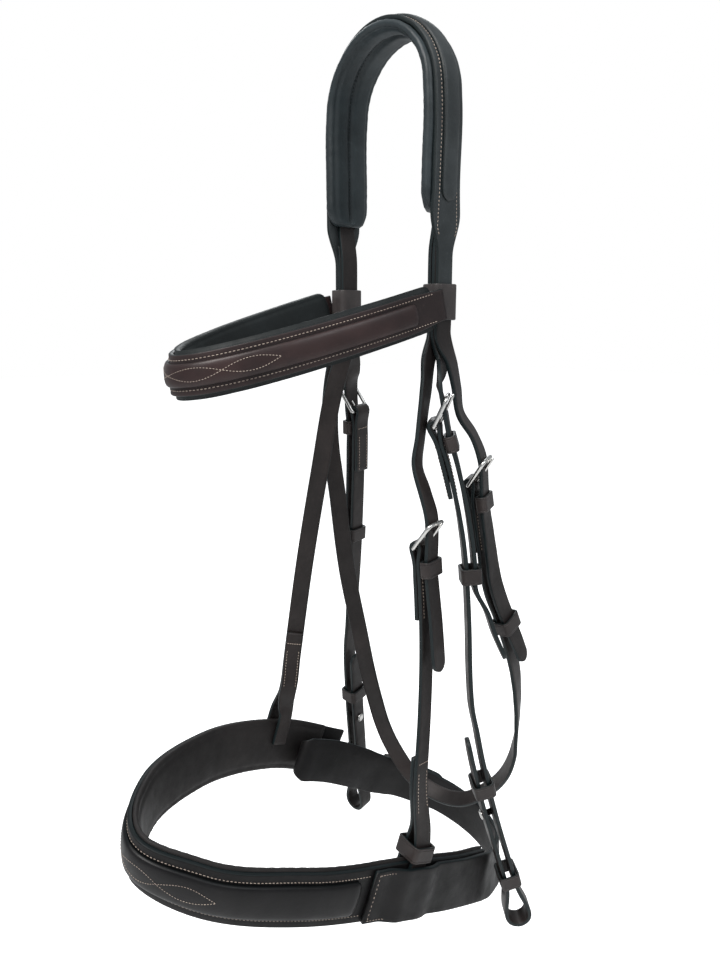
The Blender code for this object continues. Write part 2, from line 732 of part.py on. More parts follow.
def keeper(name, route, mark, inner, outer, width, height=KEEPER_HEIGHT,
           clearance=KEEPER_CLEARANCE, wall=KEEPER_WALL, corner_radius=KEEPER_CORNER):
    """A leather loop round a stack that reaches from inner to outer beside the route."""
    place, along, outward, side = route.frame(mark)
    middle = place + outward * (inner + outer) / 2
    half_out = (outer - inner) / 2 + clearance + wall / 2
    half_side = width / 2 + clearance + wall / 2
    bend = corner_radius + wall / 2
    path = []
    for out_sign, side_sign in ((1, 1), (-1, 1), (-1, -1), (1, -1)):
        corner = (out_sign * half_out, side_sign * half_side)
        along_side = (corner[0] - out_sign * bend, corner[1])
        along_out = (corner[0], corner[1] - side_sign * bend)
        pair = (along_out, along_side) if out_sign == side_sign else (along_side, along_out)
        cut = bend * CORNER_CUT_SHARE
        diagonal = (corner[0] - out_sign * cut, corner[1] - side_sign * cut)
        path.extend((pair[0], diagonal, pair[1]))
    rings = []
    count = len(path)
    for index, (out, across) in enumerate(path):
        arriving = Vector((out - path[index - 1][0], across - path[index - 1][1])).normalized()
        after = path[(index + 1) % count]
        leaving = Vector((after[0] - out, after[1] - across)).normalized()
        run = (arriving + leaving).normalized()
        away = Vector((-run.y, run.x)) / max(run.dot(leaving), 0.5)
        ring = []
        for shift, lift in ((-1, -1), (1, -1), (1, 1), (-1, 1)):
            far_out = out + away.x * shift * wall / 2
            far_side = across + away.y * shift * wall / 2
            ring.append(middle + outward * far_out + side * far_side + along * lift * height / 2)
        rings.append(ring)
    return make_object(name, skin(rings, closed=True), "brown_leather", middle)


def crown_route():
    """The underside of the headpiece's leather, from the near stack's foot to the far one's."""
    rows = []
    top = PAD_THICKNESS * PAD_APEX_SHARE + LAYER_GAP
    centre = top - LEG_SPREAD
    lowest = CROWN_LEG_SHARES[-1]
    for share in CROWN_LEG_SHARES:
        twist = CROWN_TWIST_DEG * (1.0 - blend((share - lowest) / CROWN_TWIST_SHARE))
        place = Vector((LEG_SPREAD, 0.0, centre - (STACK_DROP + centre) * share))
        rows.append((place, facing(twist, 0)))
    for angle_deg in range(0, 181, 15):
        angle = math.radians(angle_deg)
        out = Vector((math.cos(angle), 0.0, math.sin(angle)))
        twist = math.radians(CROWN_TWIST_DEG) * max(math.cos(angle), 0.0)
        face = Vector((out.x, math.sin(twist) * abs(out.x), out.z))
        rows.append((Vector((0.0, 0.0, centre)) + out * LEG_SPREAD, face.normalized()))
    for share in reversed(CROWN_LEG_SHARES):
        rows.append((Vector((-LEG_SPREAD, 0.0, centre - (STACK_DROP + centre) * share)),
                     facing(180, 0)))
    return Route(rows)


class Crown:
    """The headpiece's layers, by the distance from the nearer foot of the route."""

    def __init__(self):
        self.route = crown_route()

    def foot(self, mark):
        """Distance from the nearer foot."""
        return min(mark, self.route.length - mark)

    def marks(self, start):
        """Lengths from start to the same distance before the far foot, shared by every layer."""
        length = self.route.length
        inside = [mark for mark in marks_between(0.0, length, CROWN_STEP)
                  if start + LAYER_GAP < mark < length - start - LAYER_GAP]
        return [start] + inside + [length - start]

    def settle(self, mark):
        """How far the noseband strap has moved in to make room for the billets, 0 to 1."""
        start = STACK_DROP - LIP_DROP
        end = STACK_DROP - CROWN_TAPER_DROP
        return blend((start - self.foot(mark)) / (start - end))

    def head_out(self, mark):
        """The noseband strap's place: in the padding's channel, then inside the billets."""
        room = STRAP_THICKNESS + LAYER_GAP
        return -(LAYER_GAP + STRAP_THICKNESS / 2 + room * self.settle(mark))

    def billet_thickness(self, mark):
        """A billet starts skived thin between the headpiece and the noseband strap."""
        room = (STRAP_THICKNESS + LAYER_GAP) * self.settle(mark) - LAYER_GAP
        return max(room, SKIVED_THICKNESS / 2)

    def billet_out(self, mark):
        """The billet's middle."""
        return -(LAYER_GAP + self.billet_thickness(mark) / 2)

    def leather_width(self, mark):
        """Full width over the padding, strap width in the browband's loops."""
        wide = STACK_DROP - LIP_DROP
        narrow = STACK_DROP - CROWN_TAPER_DROP
        share = blend((self.foot(mark) - narrow) / (wide - narrow))
        return STRAP_WIDTH + (CROWN_WIDTH - STRAP_WIDTH) * share

    def side_marks(self, near, start_drop):
        """Lengths down one leg, from a drop to the foot, at the lengths that all layers share."""
        start = STACK_DROP - start_drop
        grid = marks_between(0.0, self.route.length, CROWN_STEP)
        feet = [start] + [foot for foot in reversed(grid) if foot < start - LAYER_GAP]
        return [foot if near else self.route.length - foot for foot in feet]

    def shared_drop(self, drop):
        """The drop of the shared length that is nearest to a drop."""
        pitch = self.route.length / (len(marks_between(0.0, self.route.length, CROWN_STEP)) - 1)
        return STACK_DROP - round((STACK_DROP - drop) / pitch) * pitch


def build_crown(crown):
    """Leather, padding and raised strip of the headpiece."""
    route = crown.route
    line = Line()
    line.follow(route, crown.marks(STACK_DROP - CROWN_END_DROP), STRAP_THICKNESS / 2,
                crown.leather_width)
    line.make("crown_leather")

    lip = STACK_DROP - LIP_DROP
    rings = []
    for mark in crown.marks(lip):
        taper = PAD_END_SHARE + (1.0 - PAD_END_SHARE) * blend((crown.foot(mark) - lip) / PAD_END_TAPER)
        rise = max(route.frame(mark)[2].z, 0.0)
        thickness = PAD_THICKNESS * (1.0 - (1.0 - PAD_APEX_SHARE) * rise)
        section = grooved_pad_section(PAD_WIDTH * taper, thickness)
        rings.append(place_ring(section, route.frame(mark), -LAYER_GAP))
    make_object("crown_padding", skin(rings), "black_lining")

    rings = []
    for mark in crown.marks(STACK_DROP - RAISED_END_DROP):
        section = dome_section(RAISED_TOP_WIDTH, RAISED_TOP_THICKNESS)
        rings.append(place_ring(section, route.frame(mark), STRAP_THICKNESS + LAYER_GAP))
    make_object("crown_raised_top", skin(rings), "brown_leather")


def add_stack(line, crown, near, start_drop, side_out, thickness=None):
    """Stations of one layer of the stack under the browband, downwards to its foot."""
    marks = crown.side_marks(near, start_drop)
    line.follow(crown.route, marks, side_out, STRAP_WIDTH, thickness or STRAP_THICKNESS,
                forward=not near)
    return len(marks)


def add_free(line, shares, width=STRAP_WIDTH):
    """Stations of a free stretch that hangs downwards by its own shares."""
    down = Vector((0.0, 0.0, -1.0))
    for place, face in rows_from(shares):
        line.add(place, down.cross(face).normalized(), width)


def add_billet(line, buckle, tail_shares, keeper_end):
    """Stations of a billet through its buckle, down to its keepers and out to its tail."""
    front = -BUCKLE_LENGTH * math.cos(buckle.slant)
    side = buckle.route.frame(buckle.bar_mark)[3]
    for down in (front * BEFORE_FRONT_SHARE, front, front * 0.5, 0.0, FOLD_BLEND * 0.5):
        line.add(buckle.point(down, buckle.billet_out(down)), side, buckle.width,
                 buckle.billet_thickness)
    for down in marks_between(FOLD_BLEND, keeper_end):
        mark = buckle.bar_mark + down
        line.add(buckle.route.at(mark, buckle.billet_out(down)),
                 buckle.route.frame(mark)[3], buckle.width, buckle.billet_thickness)
    for down_share, away_share in tail_shares:
        down = TAIL_SPAN * down_share
        mark = buckle.bar_mark + down
        line.add(buckle.route.at(mark, buckle.billet_out(down) + TAIL_SPAN * away_share),
                 buckle.route.frame(mark)[3], buckle.width, buckle.billet_thickness)


def round_end(line):
    """Narrow the last stations of a line into a rounded end."""
    point, before = line.points[-1], line.points[-2]
    along = (point - before).normalized()
    width, thickness = line.sizes[-1]
    radius = width / 2
    line.points[-1] = point - along * radius
    for share in ROUND_END_SHARES:
        narrow = math.sqrt(1.0 - share * share)
        line.add(point - along * radius * (1.0 - share), line.acrosses[-1], width * narrow, thickness)
    line.add(point, line.acrosses[-1], width * END_SHARE, thickness)


def build_cheek(side, shares):
    """A cheekpiece: folded on its buckle's bar, looped for the bit, hooked on its stud."""
    route = Route(rows_from(shares))
    buckle = Buckle(side + "_cheek_buckle", route, 0.0, STRAP_WIDTH, STRAP_THICKNESS,
                    STRAP_THICKNESS, CHEEK_SLANT_DEG)
    line = Line()
    buckle.add_fold(line, TURNBACK_LENGTH)
    layer = buckle.layer
    last = route.length

    def leg_out(mark):
        back = last - mark
        pair = blend((BIT_RETURN_LENGTH + BIT_LOOP_BLEND - back) / BIT_LOOP_BLEND)
        side_out = layer + (BIT_PAIR_OUT - layer) * pair
        return side_out + (BIT_LOOP_RADIUS - side_out) * blend(1.0 - back / BIT_LOOP_BLEND)

    legs = marks_between(FOLD_BLEND, last - BIT_LOOP_BLEND)
    legs += marks_between(last - BIT_LOOP_BLEND, last, BIT_LOOP_BLEND / 4)[1:]
    line.follow(route, legs, leg_out, forward=False)
    place, along, outward, across = route.frame(last)
    for angle_deg in BIT_LOOP_ANGLES_DEG:
        angle = math.radians(angle_deg)
        point = place + along * BIT_LOOP_RADIUS * math.sin(angle)
        line.add(point + outward * BIT_LOOP_RADIUS * math.cos(angle), -across)
    returning = [mark for mark in reversed(legs) if mark > last - BIT_RETURN_LENGTH]
    returning.append(last - BIT_RETURN_LENGTH)
    for mark in returning:
        line.add(route.at(mark, -leg_out(mark)), -route.frame(mark)[3])
    round_end(line)
    strap = line.make(side + "_cheekpiece")
    buckle.cut_slot(strap)
    stud_mark = last - STUD_PLACE
    build_stud(side, strap, route, stud_mark, BIT_PAIR_OUT)
    buckle.make_frame()
    buckle.make_tongue()
    outer = layer + STRAP_THICKNESS / 2
    under, over = buckle.billet_span()
    keeper(side + "_cheek_keeper", route, KEEPER_SEAT + KEEPER_HEIGHT / 2, under, over, STRAP_WIDTH)
    keeper(side + "_cheek_runner", route, CHEEK_RUNNER_PLACE, outer - STRAP_THICKNESS, over,
           STRAP_WIDTH)
    pair = BIT_PAIR_OUT + STRAP_THICKNESS / 2
    keeper(side + "_bit_keeper", route, last - BIT_LOOP_BLEND - KEEPER_HEIGHT / 2, -pair, pair,
           STRAP_WIDTH)
    keeper(side + "_bit_runner", route, last - BIT_RUNNER_PLACE, -pair, pair, STRAP_WIDTH)
    return buckle


def build_stud(side, strap, route, mark, layer):
    """The hook stud: a shank seated in the cheekpiece and a head over the returned end."""
    place, along, outward, across = route.frame(mark)
    head_inner = -(layer + STRAP_THICKNESS / 2 + LAYER_GAP)
    rings = []
    for out, radius in ((layer, STUD_RADIUS), (head_inner, STUD_RADIUS),
                        (head_inner, STUD_HEAD_RADIUS),
                        (head_inner - STUD_HEAD_HEIGHT * 0.5, STUD_HEAD_RADIUS),
                        (head_inner - STUD_HEAD_HEIGHT, STUD_HEAD_RADIUS * STUD_CROWN_SHARE)):
        rings.append([place + outward * out + along * a + across * b
                      for a, b in oval(radius, radius, 10)])
    make_object(side + "_hook_stud", skin(rings), "steel")
    reach = layer + LAYER_GAP - head_inner
    hole = STUD_RADIUS + STUD_CLEARANCE
    centre = place + outward * (layer + LAYER_GAP - reach)
    cutter = prism(side + "_stud_cutter", centre, outward, along, across, oval(hole, hole), reach)
    carve(strap, cutter)


def build_cheek_billet(crown, side, shares, buckle):
    """A billet from under the headpiece to its rounded tail."""
    near = side == "near"
    line = Line()
    start = LIP_DROP + (CROWN_TAPER_DROP - LIP_DROP) * BILLET_START_SHARE
    kept = add_stack(line, crown, near, crown.shared_drop(start), crown.billet_out,
                     crown.billet_thickness)
    add_free(line, shares)
    add_billet(line, buckle, CHEEK_TAIL_SHARES[side], CHEEK_RUNNER_PLACE + KEEPER_HEIGHT)
    line = smooth_line(line, kept)
    round_end(line)
    billet = line.make(side + "_cheek_billet")
    buckle.cut_hole(billet)


def build_throat(crown):
    """The throatlash and the near billet that it buckles to."""
    rows = list(reversed(rows_from(THROATLASH_SHARES)))
    layer = (STRAP_THICKNESS + LAYER_GAP) / 2
    length = crown.route.length
    for drop in (STACK_DROP, CROWN_END_DROP + LAYER_GAP):
        mark = length - (STACK_DROP - drop)
        rows.append((crown.route.at(mark, STRAP_THICKNESS / 2 - layer), facing(180, 0)))
    route = Route(rows)
    buckle = Buckle("throat_buckle", route, 0.0, STRAP_WIDTH, STRAP_THICKNESS, STRAP_THICKNESS,
                    CHEEK_SLANT_DEG)
    line = Line()
    buckle.add_fold(line, TURNBACK_LENGTH)
    line.follow(route, marks_between(FOLD_BLEND, route.length), layer, forward=False)
    strap = line.make("throatlash")
    buckle.cut_slot(strap)
    buckle.make_frame()
    buckle.make_tongue()
    outer = layer + STRAP_THICKNESS / 2
    under, over = buckle.billet_span()
    keeper("throat_keeper", route, KEEPER_SEAT + KEEPER_HEIGHT / 2, under, over, STRAP_WIDTH)
    keeper("throat_runner", route, THROAT_RUNNER_PLACE, outer - STRAP_THICKNESS, over, STRAP_WIDTH)

    line = Line()
    kept = add_stack(line, crown, True, CROWN_END_DROP + LAYER_GAP, STRAP_THICKNESS / 2)
    add_free(line, NEAR_THROAT_SHARES)
    add_billet(line, buckle, THROAT_TAIL_SHARES, THROAT_RUNNER_PLACE + KEEPER_HEIGHT)
    line = smooth_line(line, kept)
    round_end(line)
    billet = line.make("near_throat_billet")
    buckle.cut_hole(billet)
    return buckle


class Noseband:
    """The noseband's route and the places of its layers beside it."""

    def __init__(self):
        self.route = Route(rows_from(NOSE_SHARES))
        self.hanger_out = NOSE_THICKNESS + LAYER_GAP + STRAP_THICKNESS / 2
        self.hanger_in = -(2 * LAYER_GAP + NOSE_PAD_THICKNESS + STRAP_THICKNESS / 2)
        length = self.route.length
        self.near_mark = length * HANGER_PLACE_NEAR_SHARE
        self.far_mark = length * HANGER_PLACE_FAR_SHARE
        self.pad_end = length - CHAPE_LENGTH + DEE_STAND
        self.raised = [length * share for share in NOSE_RAISED_SHARES]
        self.flap_start = length * FLAP_START_SHARE
        extras = [PAD_END_TAPER, self.pad_end, self.flap_start, self.near_mark] + self.raised
        for away in (self.flap_flat(), self.flap_flat() + FLAP_RAMP):
            extras += [self.near_mark - away, self.near_mark + away]
        self.marks = shared_marks(length, NOSE_STEP, extras)

    @staticmethod
    def flap_flat():
        """How far from the near hanger's middle the chin strap's flap lies flat over its leg."""
        return STRAP_WIDTH / 2 + FLAP_MARGIN

    def flap_out(self, mark):
        """How far the flap's middle lies from the route: up and over the hanger's leg."""
        plain = NOSE_THICKNESS + LAYER_GAP + CHIN_THICKNESS / 2
        share = (self.flap_flat() + FLAP_RAMP - abs(mark - self.near_mark)) / FLAP_RAMP
        return plain + (STRAP_THICKNESS + 2 * LAYER_GAP) * min(max(share, 0.0), 1.0)

    def hanger_rows(self, mark):
        """Route rows that bring a hanging strap down on to the nose piece's top edge."""
        place, along, outward, across = self.route.frame(mark)
        edge = NOSE_PAD_WIDTH / 2
        rows = []
        for above in (HANGER_SPREAD_DROP / 4, 0.0, -HANGER_LAP):
            rows.append((place + across * (edge + above), outward))
        return rows

    def legs(self, route, layer):
        """How far the outer and inner legs of a hanger lie from its own route, by the mark."""
        spread_end = route.length - HANGER_LAP
        spread_start = spread_end - HANGER_SPREAD_DROP

        def outer(mark):
            share = blend((mark - spread_start) / HANGER_SPREAD_DROP)
            return layer + (self.hanger_out - layer) * share

        def inner(mark):
            share = blend((mark - spread_start) / HANGER_SPREAD_DROP)
            return -layer + (self.hanger_in + layer) * share

        return outer, inner


def add_hanger_leg(name, strap, route, marks, inner):
    """The strap's second leg, sewn to the first above the nose piece and spread inside it."""
    line = Line()
    start = route.length - HANGER_LAP - HANGER_SPREAD_DROP - HANGER_SEWN_LENGTH
    marks = [mark for mark in marks if mark > start]
    back = (marks[1] - marks[0]) * CLOSE_SHARE
    sewn = [marks[0] - back, marks[1] - back]
    width = STRAP_WIDTH - LAYER_GAP
    line.follow(route, sewn, lambda mark: inner(mark) + LAYER_GAP + SEWN_OVERLAP, width)
    line.follow(route, marks[2:], inner, width)
    leg = line.make(name)
    carve(strap, leg, "UNION")


def hanger_keeper(name, route, outer, inner):
    """The keeper that holds a hanger's two legs together above the nose piece."""
    mark = route.length - HANGER_LAP - KEEPER_HEIGHT * 0.55
    low = mark + KEEPER_HEIGHT / 2
    keeper(name, route, mark, inner(low) - STRAP_THICKNESS / 2, outer(low) + STRAP_THICKNESS / 2,
           STRAP_WIDTH)


def build_head_and_cheek_of_noseband(crown, band):
    """The noseband's headstrap and its near cheek, which buckle together on the near side."""
    near_route = Route(rows_from(NEAR_NOSE_SHARES) + band.hanger_rows(band.near_mark))
    buckle = Buckle("noseband_buckle", near_route, 0.0, STRAP_WIDTH, STRAP_THICKNESS,
                    STRAP_THICKNESS, CHEEK_SLANT_DEG)
    outer, inner = band.legs(near_route, buckle.layer)
    line = Line()
    buckle.add_fold(line, TURNBACK_LENGTH)
    marks = marks_between(FOLD_BLEND, near_route.length, STATION_STEP * 0.7)
    line.follow(near_route, marks, outer, forward=False)
    strap = line.make("near_noseband_cheek")
    add_hanger_leg("near_leg", strap, near_route, marks, inner)
    buckle.cut_slot(strap)
    buckle.make_frame()
    buckle.make_tongue()
    under, over = buckle.billet_span()
    keeper("noseband_keeper", near_route, KEEPER_SEAT + KEEPER_HEIGHT / 2, under, over, STRAP_WIDTH)
    hanger_keeper("near_hanger_keeper", near_route, outer, inner)

    far_route = Route(rows_from(FAR_NOSE_SHARES) + band.hanger_rows(band.far_mark))
    outer, inner = band.legs(far_route, buckle.layer)
    layer = buckle.layer

    def far_out(mark):
        return outer(mark) - layer * (1.0 - blend(mark / TURNBACK_LENGTH))

    near = Line()
    kept = add_stack(near, crown, True, LIP_DROP, crown.head_out)
    add_free(near, NEAR_NOSE_BILLET_SHARES)
    add_billet(near, buckle, NOSE_TAIL_SHARES, KEEPER_SEAT + KEEPER_HEIGHT * 1.3)
    near = smooth_line(near, kept)
    round_end(near)
    line = Line()
    for index in range(len(near.points) - 1, 0, -1):
        line.copy_from(near, index, -1)
    line.follow(crown.route, crown.marks(STACK_DROP - LIP_DROP), crown.head_out, forward=False)
    line.follow(crown.route, crown.side_marks(False, LIP_DROP)[1:], crown.head_out, forward=False)
    marks = marks_between(0.0, far_route.length, STATION_STEP * 0.8)
    line.follow(far_route, marks, far_out, forward=False)
    strap = line.make("noseband_headstrap")
    add_hanger_leg("far_leg", strap, far_route, marks, inner)
    buckle.cut_hole(strap)
    return buckle


def build_nose_piece(band):
    """Leather, padding and raised strip of the nose piece."""
    route = band.route
    marks = band.marks

    def pad_at(mark):
        near_end = blend(mark / PAD_END_TAPER)
        far_end = blend((band.pad_end - mark) / PAD_END_TAPER)
        share = PAD_END_SHARE + (1.0 - PAD_END_SHARE) * min(near_end, far_end)
        return pad_section(NOSE_PAD_WIDTH, NOSE_PAD_THICKNESS * share)

    leather = sheath(route, marks, lambda mark: strap_section(NOSE_WIDTH, NOSE_THICKNESS),
                     NOSE_THICKNESS / 2)
    make_object("nose_leather", leather, "brown_leather")
    padding = sheath(route, marks_inside(marks, 0.0, band.pad_end), pad_at, -LAYER_GAP)
    make_object("nose_padding", padding, "black_lining")
    raised = sheath(route, marks_inside(marks, *band.raised),
                    lambda mark: dome_section(NOSE_RAISED_WIDTH, NOSE_RAISED_THICKNESS),
                    NOSE_THICKNESS + RAISED_GAP)
    make_object("nose_raised_front", raised, "brown_leather")


def chin_route(band):
    """The chin strap's middle, from the near end of the nose piece round the back to the far turn."""
    rows = []
    for mark in (band.near_mark, band.near_mark / 2, 0.0):
        place, along, outward, across = band.route.frame(mark)
        rows.append((place + outward * band.flap_out(0.0), outward))
    return Route(rows + rows_from(CHIN_BACK_SHARES))


def chin_width(from_turn):
    """The chin strap narrows towards its turn."""
    return CHIN_TURN_WIDTH + (CHIN_WIDTH - CHIN_TURN_WIDTH) * blend(from_turn / CHIN_TAPER_LENGTH)


def build_chin(band):
    """The chin strap, the dee that it runs through and the buckle that it comes back to."""
    route = chin_route(band)
    first = route.marks[2 * Route.SPANS]
    last = route.length
    rows = []
    for back in marks_between(CHIN_FREE_LENGTH, CHIN_FREE_LENGTH + CHIN_BACK_LENGTH, NOSE_STEP):
        place, along, outward, across = route.frame(last - back)
        lift = CHIN_THICKNESS / 2 + 2 * LAYER_GAP + WIRE_RADIUS + CHAPE_THICKNESS
        rows.append((place + outward * lift, outward))
    chape_route = Route(rows)
    buckle = Buckle("chin_buckle", chape_route, BUCKLE_LENGTH, CHIN_TAIL_WIDTH, STRAP_THICKNESS,
                    CHAPE_THICKNESS, CHIN_SLANT_DEG)
    buckle.ride = CHIN_RIDE

    line = Line()
    flap = list(reversed(marks_inside(band.marks, 0.0, band.flap_start)))
    line.follow(band.route, flap, band.flap_out, CHIN_WIDTH, CHIN_THICKNESS, forward=False)
    line.follow(route, marks_between(first, last, NOSE_STEP)[1:], 0.0,
                lambda mark: chin_width(last - mark), CHIN_THICKNESS)
    add_chin_return(line, route, chape_route, buckle)
    round_end(line)
    strap = line.make("chin_strap")
    buckle.cut_hole(strap)

    chape = Line()
    buckle.add_fold(chape, CHAPE_LENGTH)
    chape.follow(chape_route, marks_between(buckle.bar_mark + FOLD_BLEND,
                                            buckle.bar_mark + CHAPE_LENGTH),
                 buckle.layer, CHIN_TAIL_WIDTH, CHAPE_THICKNESS, forward=False)
    strap = chape.make("chin_buckle_chape")
    buckle.cut_slot(strap)
    buckle.make_frame()
    buckle.make_tongue()
    under, over = buckle.billet_span()
    keeper("chin_keeper", chape_route, buckle.bar_mark + KEEPER_SEAT + CHIN_KEEPER_HEIGHT / 2, under,
           over, CHIN_TAIL_WIDTH, CHIN_KEEPER_HEIGHT)
    build_dee(band)


def add_chin_return(line, route, chape_route, buckle):
    """The chin strap's turn, and its way back through the dee and the buckle to its end."""
    last = route.length
    radius = CHIN_TURN_RADIUS
    place, along, outward, across = route.frame(last)
    for angle_deg in CHIN_TURN_ANGLES_DEG:
        angle = math.radians(angle_deg)
        point = place + along * radius * math.sin(angle) + outward * radius * (1 - math.cos(angle))
        wide = CHIN_TURN_WIDTH + (CHIN_TAIL_WIDTH - CHIN_TURN_WIDTH) * angle / math.pi
        line.add(point, across, wide, CHIN_THICKNESS)
    for share in CHIN_FREE_SHARES:
        mark = last - CHIN_FREE_LENGTH * share
        line.add(route.at(mark, 2 * radius), route.frame(mark)[3], CHIN_TAIL_WIDTH)
    front = -BUCKLE_LENGTH * math.cos(buckle.slant)
    side = -chape_route.frame(buckle.bar_mark)[3]
    for down in (front, front / 2, 0.0, FOLD_BLEND / 2):
        line.add(buckle.point(down, buckle.billet_out(down)), side, CHIN_TAIL_WIDTH)
    for down in marks_between(FOLD_BLEND, CHIN_TAIL_LENGTH):
        mark = buckle.bar_mark + down
        line.add(chape_route.at(mark, buckle.billet_out(down)), -chape_route.frame(mark)[3],
                 CHIN_TAIL_WIDTH)


def build_dee(band):
    """The dee on the far end of the nose piece, held by a folded tab under the leather."""
    nose = band.route
    out = -(2 * LAYER_GAP + CHAPE_THICKNESS + LAYER_GAP / 2)
    rows = []
    for back in (0.0, CHAPE_LENGTH / 2, CHAPE_LENGTH):
        place, along, outward, across = nose.frame(nose.length + DEE_STAND - back)
        rows.append((place + outward * out - across * DEE_LOWERED, outward))
    route = Route(rows)
    dee = Buckle("chin_dee", route, 0.0, CHIN_TAIL_WIDTH, STRAP_THICKNESS, CHAPE_THICKNESS, 0.0)
    dee.fold_radius = DEE_WIRE_RADIUS + LAYER_GAP + CHAPE_THICKNESS / 2
    line = Line()
    dee.add_fold(line, CHAPE_LENGTH - DEE_STAND - LAYER_GAP)
    line.follow(route, marks_between(FOLD_BLEND, CHAPE_LENGTH - DEE_STAND - LAYER_GAP), dee.layer,
                CHIN_TAIL_WIDTH, CHAPE_THICKNESS, forward=False)
    line.make("dee_tab")
    half = CHIN_TAIL_WIDTH / 2 + DEE_SIDE_CLEARANCE + DEE_WIRE_RADIUS
    turn = math.radians(DEE_TURN_DEG)
    down = DEE_LENGTH * math.cos(turn)
    inward = -DEE_LENGTH * math.sin(turn)
    corners = [dee.point(0.0, 0.0, -half), dee.point(0.0, 0.0, half),
               dee.point(down, inward, half), dee.point(down, inward, -half)]
    bent_frame("chin_dee", corners, DEE_WIRE_RADIUS, BUCKLE_CORNER)


def browband_route():
    """The underside of the browband's leather, from the near end round the front to the far end."""
    spread = LEG_SPREAD + STRAP_THICKNESS + LOOP_CLEARANCE + LOOP_WALL + LAYER_GAP
    start = math.asin(BROWBAND_LEATHER_START / BROWBAND_REACH)
    rows = []
    for index in range(BROWBAND_ROWS):
        angle = start + (math.pi - 2 * start) * index / (BROWBAND_ROWS - 1)
        out = Vector((math.cos(angle) * BROWBAND_REACH, -math.sin(angle) * spread, 0.0)).normalized()
        dip = math.sin(angle) * BROWBAND_DIP
        place = Vector((math.cos(angle) * spread, -math.sin(angle) * BROWBAND_REACH,
                        -BROWBAND_DROP - dip))
        rows.append((place, out))
    return Route(rows)


def build_browband(crown):
    """The browband's leather, padding, raised front and the two loops on its ends."""
    route = browband_route()
    length = route.length
    pad = BROWBAND_PAD_START - BROWBAND_LEATHER_START
    raised = BROWBAND_RAISED_START - BROWBAND_LEATHER_START
    marks = shared_marks(length, BROWBAND_STEP, (pad, raised, length - raised, length - pad))

    def leather_at(mark):
        share = blend(min(mark, length - mark) / BROWBAND_RAISED_START)
        wide = BROWBAND_END_WIDTH + (BROWBAND_WIDTH - BROWBAND_END_WIDTH) * share
        return strap_section(wide, STRAP_THICKNESS)

    leather = sheath(route, marks, leather_at, STRAP_THICKNESS / 2)
    make_object("browband_leather", leather, "brown_leather")
    padding = sheath(route, marks_inside(marks, pad, length - pad),
                     lambda mark: pad_section(BROWBAND_PAD_WIDTH, BROWBAND_PAD_THICKNESS), -LAYER_GAP)
    make_object("browband_padding", padding, "black_lining")
    front = sheath(route, marks_inside(marks, raised, length - raised),
                   lambda mark: dome_section(BROWBAND_RAISED_WIDTH, BROWBAND_RAISED_THICKNESS),
                   STRAP_THICKNESS + LAYER_GAP)
    make_object("browband_raised_front", front, "red_brown_leather")
    for side in ("near", "far"):
        build_browband_loop(crown, side)


def build_browband_loop(crown, side):
    """The loop at one end of the browband, round the headpiece's stack of straps."""
    mark = crown.side_marks(side == "near", BROWBAND_DROP)[0]
    stack_in = -(2 * LAYER_GAP + 2 * STRAP_THICKNESS)
    keeper(side + "_browband_loop", crown.route, mark, stack_in, STRAP_THICKNESS, STRAP_WIDTH,
           LOOP_HEIGHT, LOOP_CLEARANCE, LOOP_WALL, LOOP_CORNER)


def main():
    """Clear the scene and build every sub-part."""
    for thing in list(bpy.data.objects):
        bpy.data.objects.remove(thing, do_unlink=True)
    crown = Crown()
    band = Noseband()
    build_crown(crown)
    build_browband(crown)
    near = build_cheek("near", NEAR_CHEEK_SHARES)
    far = build_cheek("far", FAR_CHEEK_SHARES)
    build_cheek_billet(crown, "near", NEAR_CHEEK_BILLET_SHARES, near)
    build_cheek_billet(crown, "far", FAR_CHEEK_BILLET_SHARES, far)
    build_throat(crown)
    build_nose_piece(band)
    build_head_and_cheek_of_noseband(crown, band)
    build_chin(band)


if __name__ == "__main__":
    main()
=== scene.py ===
"""Looks of the riding bridle: smooth straps, padding, stitching and polished buckles round its frame.

Every strap is swept along the route that the frame's own strap follows, with a rounded section,
and carries two patterns' coordinates: the length along it and the place across it.
"""

import json
import logging
import math
from bisect import bisect_left
from collections.abc import Callable, Iterable, Sequence
from dataclasses import dataclass
from enum import Enum

import bmesh
import bpy
from mathutils import Matrix, Vector, noise

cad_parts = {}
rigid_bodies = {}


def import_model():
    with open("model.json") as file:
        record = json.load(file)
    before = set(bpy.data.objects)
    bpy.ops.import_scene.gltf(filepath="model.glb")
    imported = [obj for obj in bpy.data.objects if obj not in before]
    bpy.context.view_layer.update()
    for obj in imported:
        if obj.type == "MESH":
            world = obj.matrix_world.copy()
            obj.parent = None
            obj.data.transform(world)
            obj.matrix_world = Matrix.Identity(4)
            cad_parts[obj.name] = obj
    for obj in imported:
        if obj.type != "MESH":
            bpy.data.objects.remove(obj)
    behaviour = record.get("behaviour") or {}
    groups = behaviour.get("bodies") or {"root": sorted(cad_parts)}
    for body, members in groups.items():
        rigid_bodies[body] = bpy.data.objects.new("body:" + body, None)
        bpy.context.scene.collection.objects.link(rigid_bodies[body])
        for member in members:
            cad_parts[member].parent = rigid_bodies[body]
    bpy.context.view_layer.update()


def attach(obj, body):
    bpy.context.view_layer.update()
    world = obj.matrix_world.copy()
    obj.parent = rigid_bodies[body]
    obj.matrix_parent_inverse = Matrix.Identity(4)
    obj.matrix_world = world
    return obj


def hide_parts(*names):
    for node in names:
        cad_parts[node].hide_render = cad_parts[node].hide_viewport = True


LOG = logging.getLogger("bridle")
STRAPS = "straps"
BROWBAND = "browband"

Row = tuple[Vector, Vector]
Share = tuple[float, float, float, float, float]
Amount = float | Callable[[float], float]


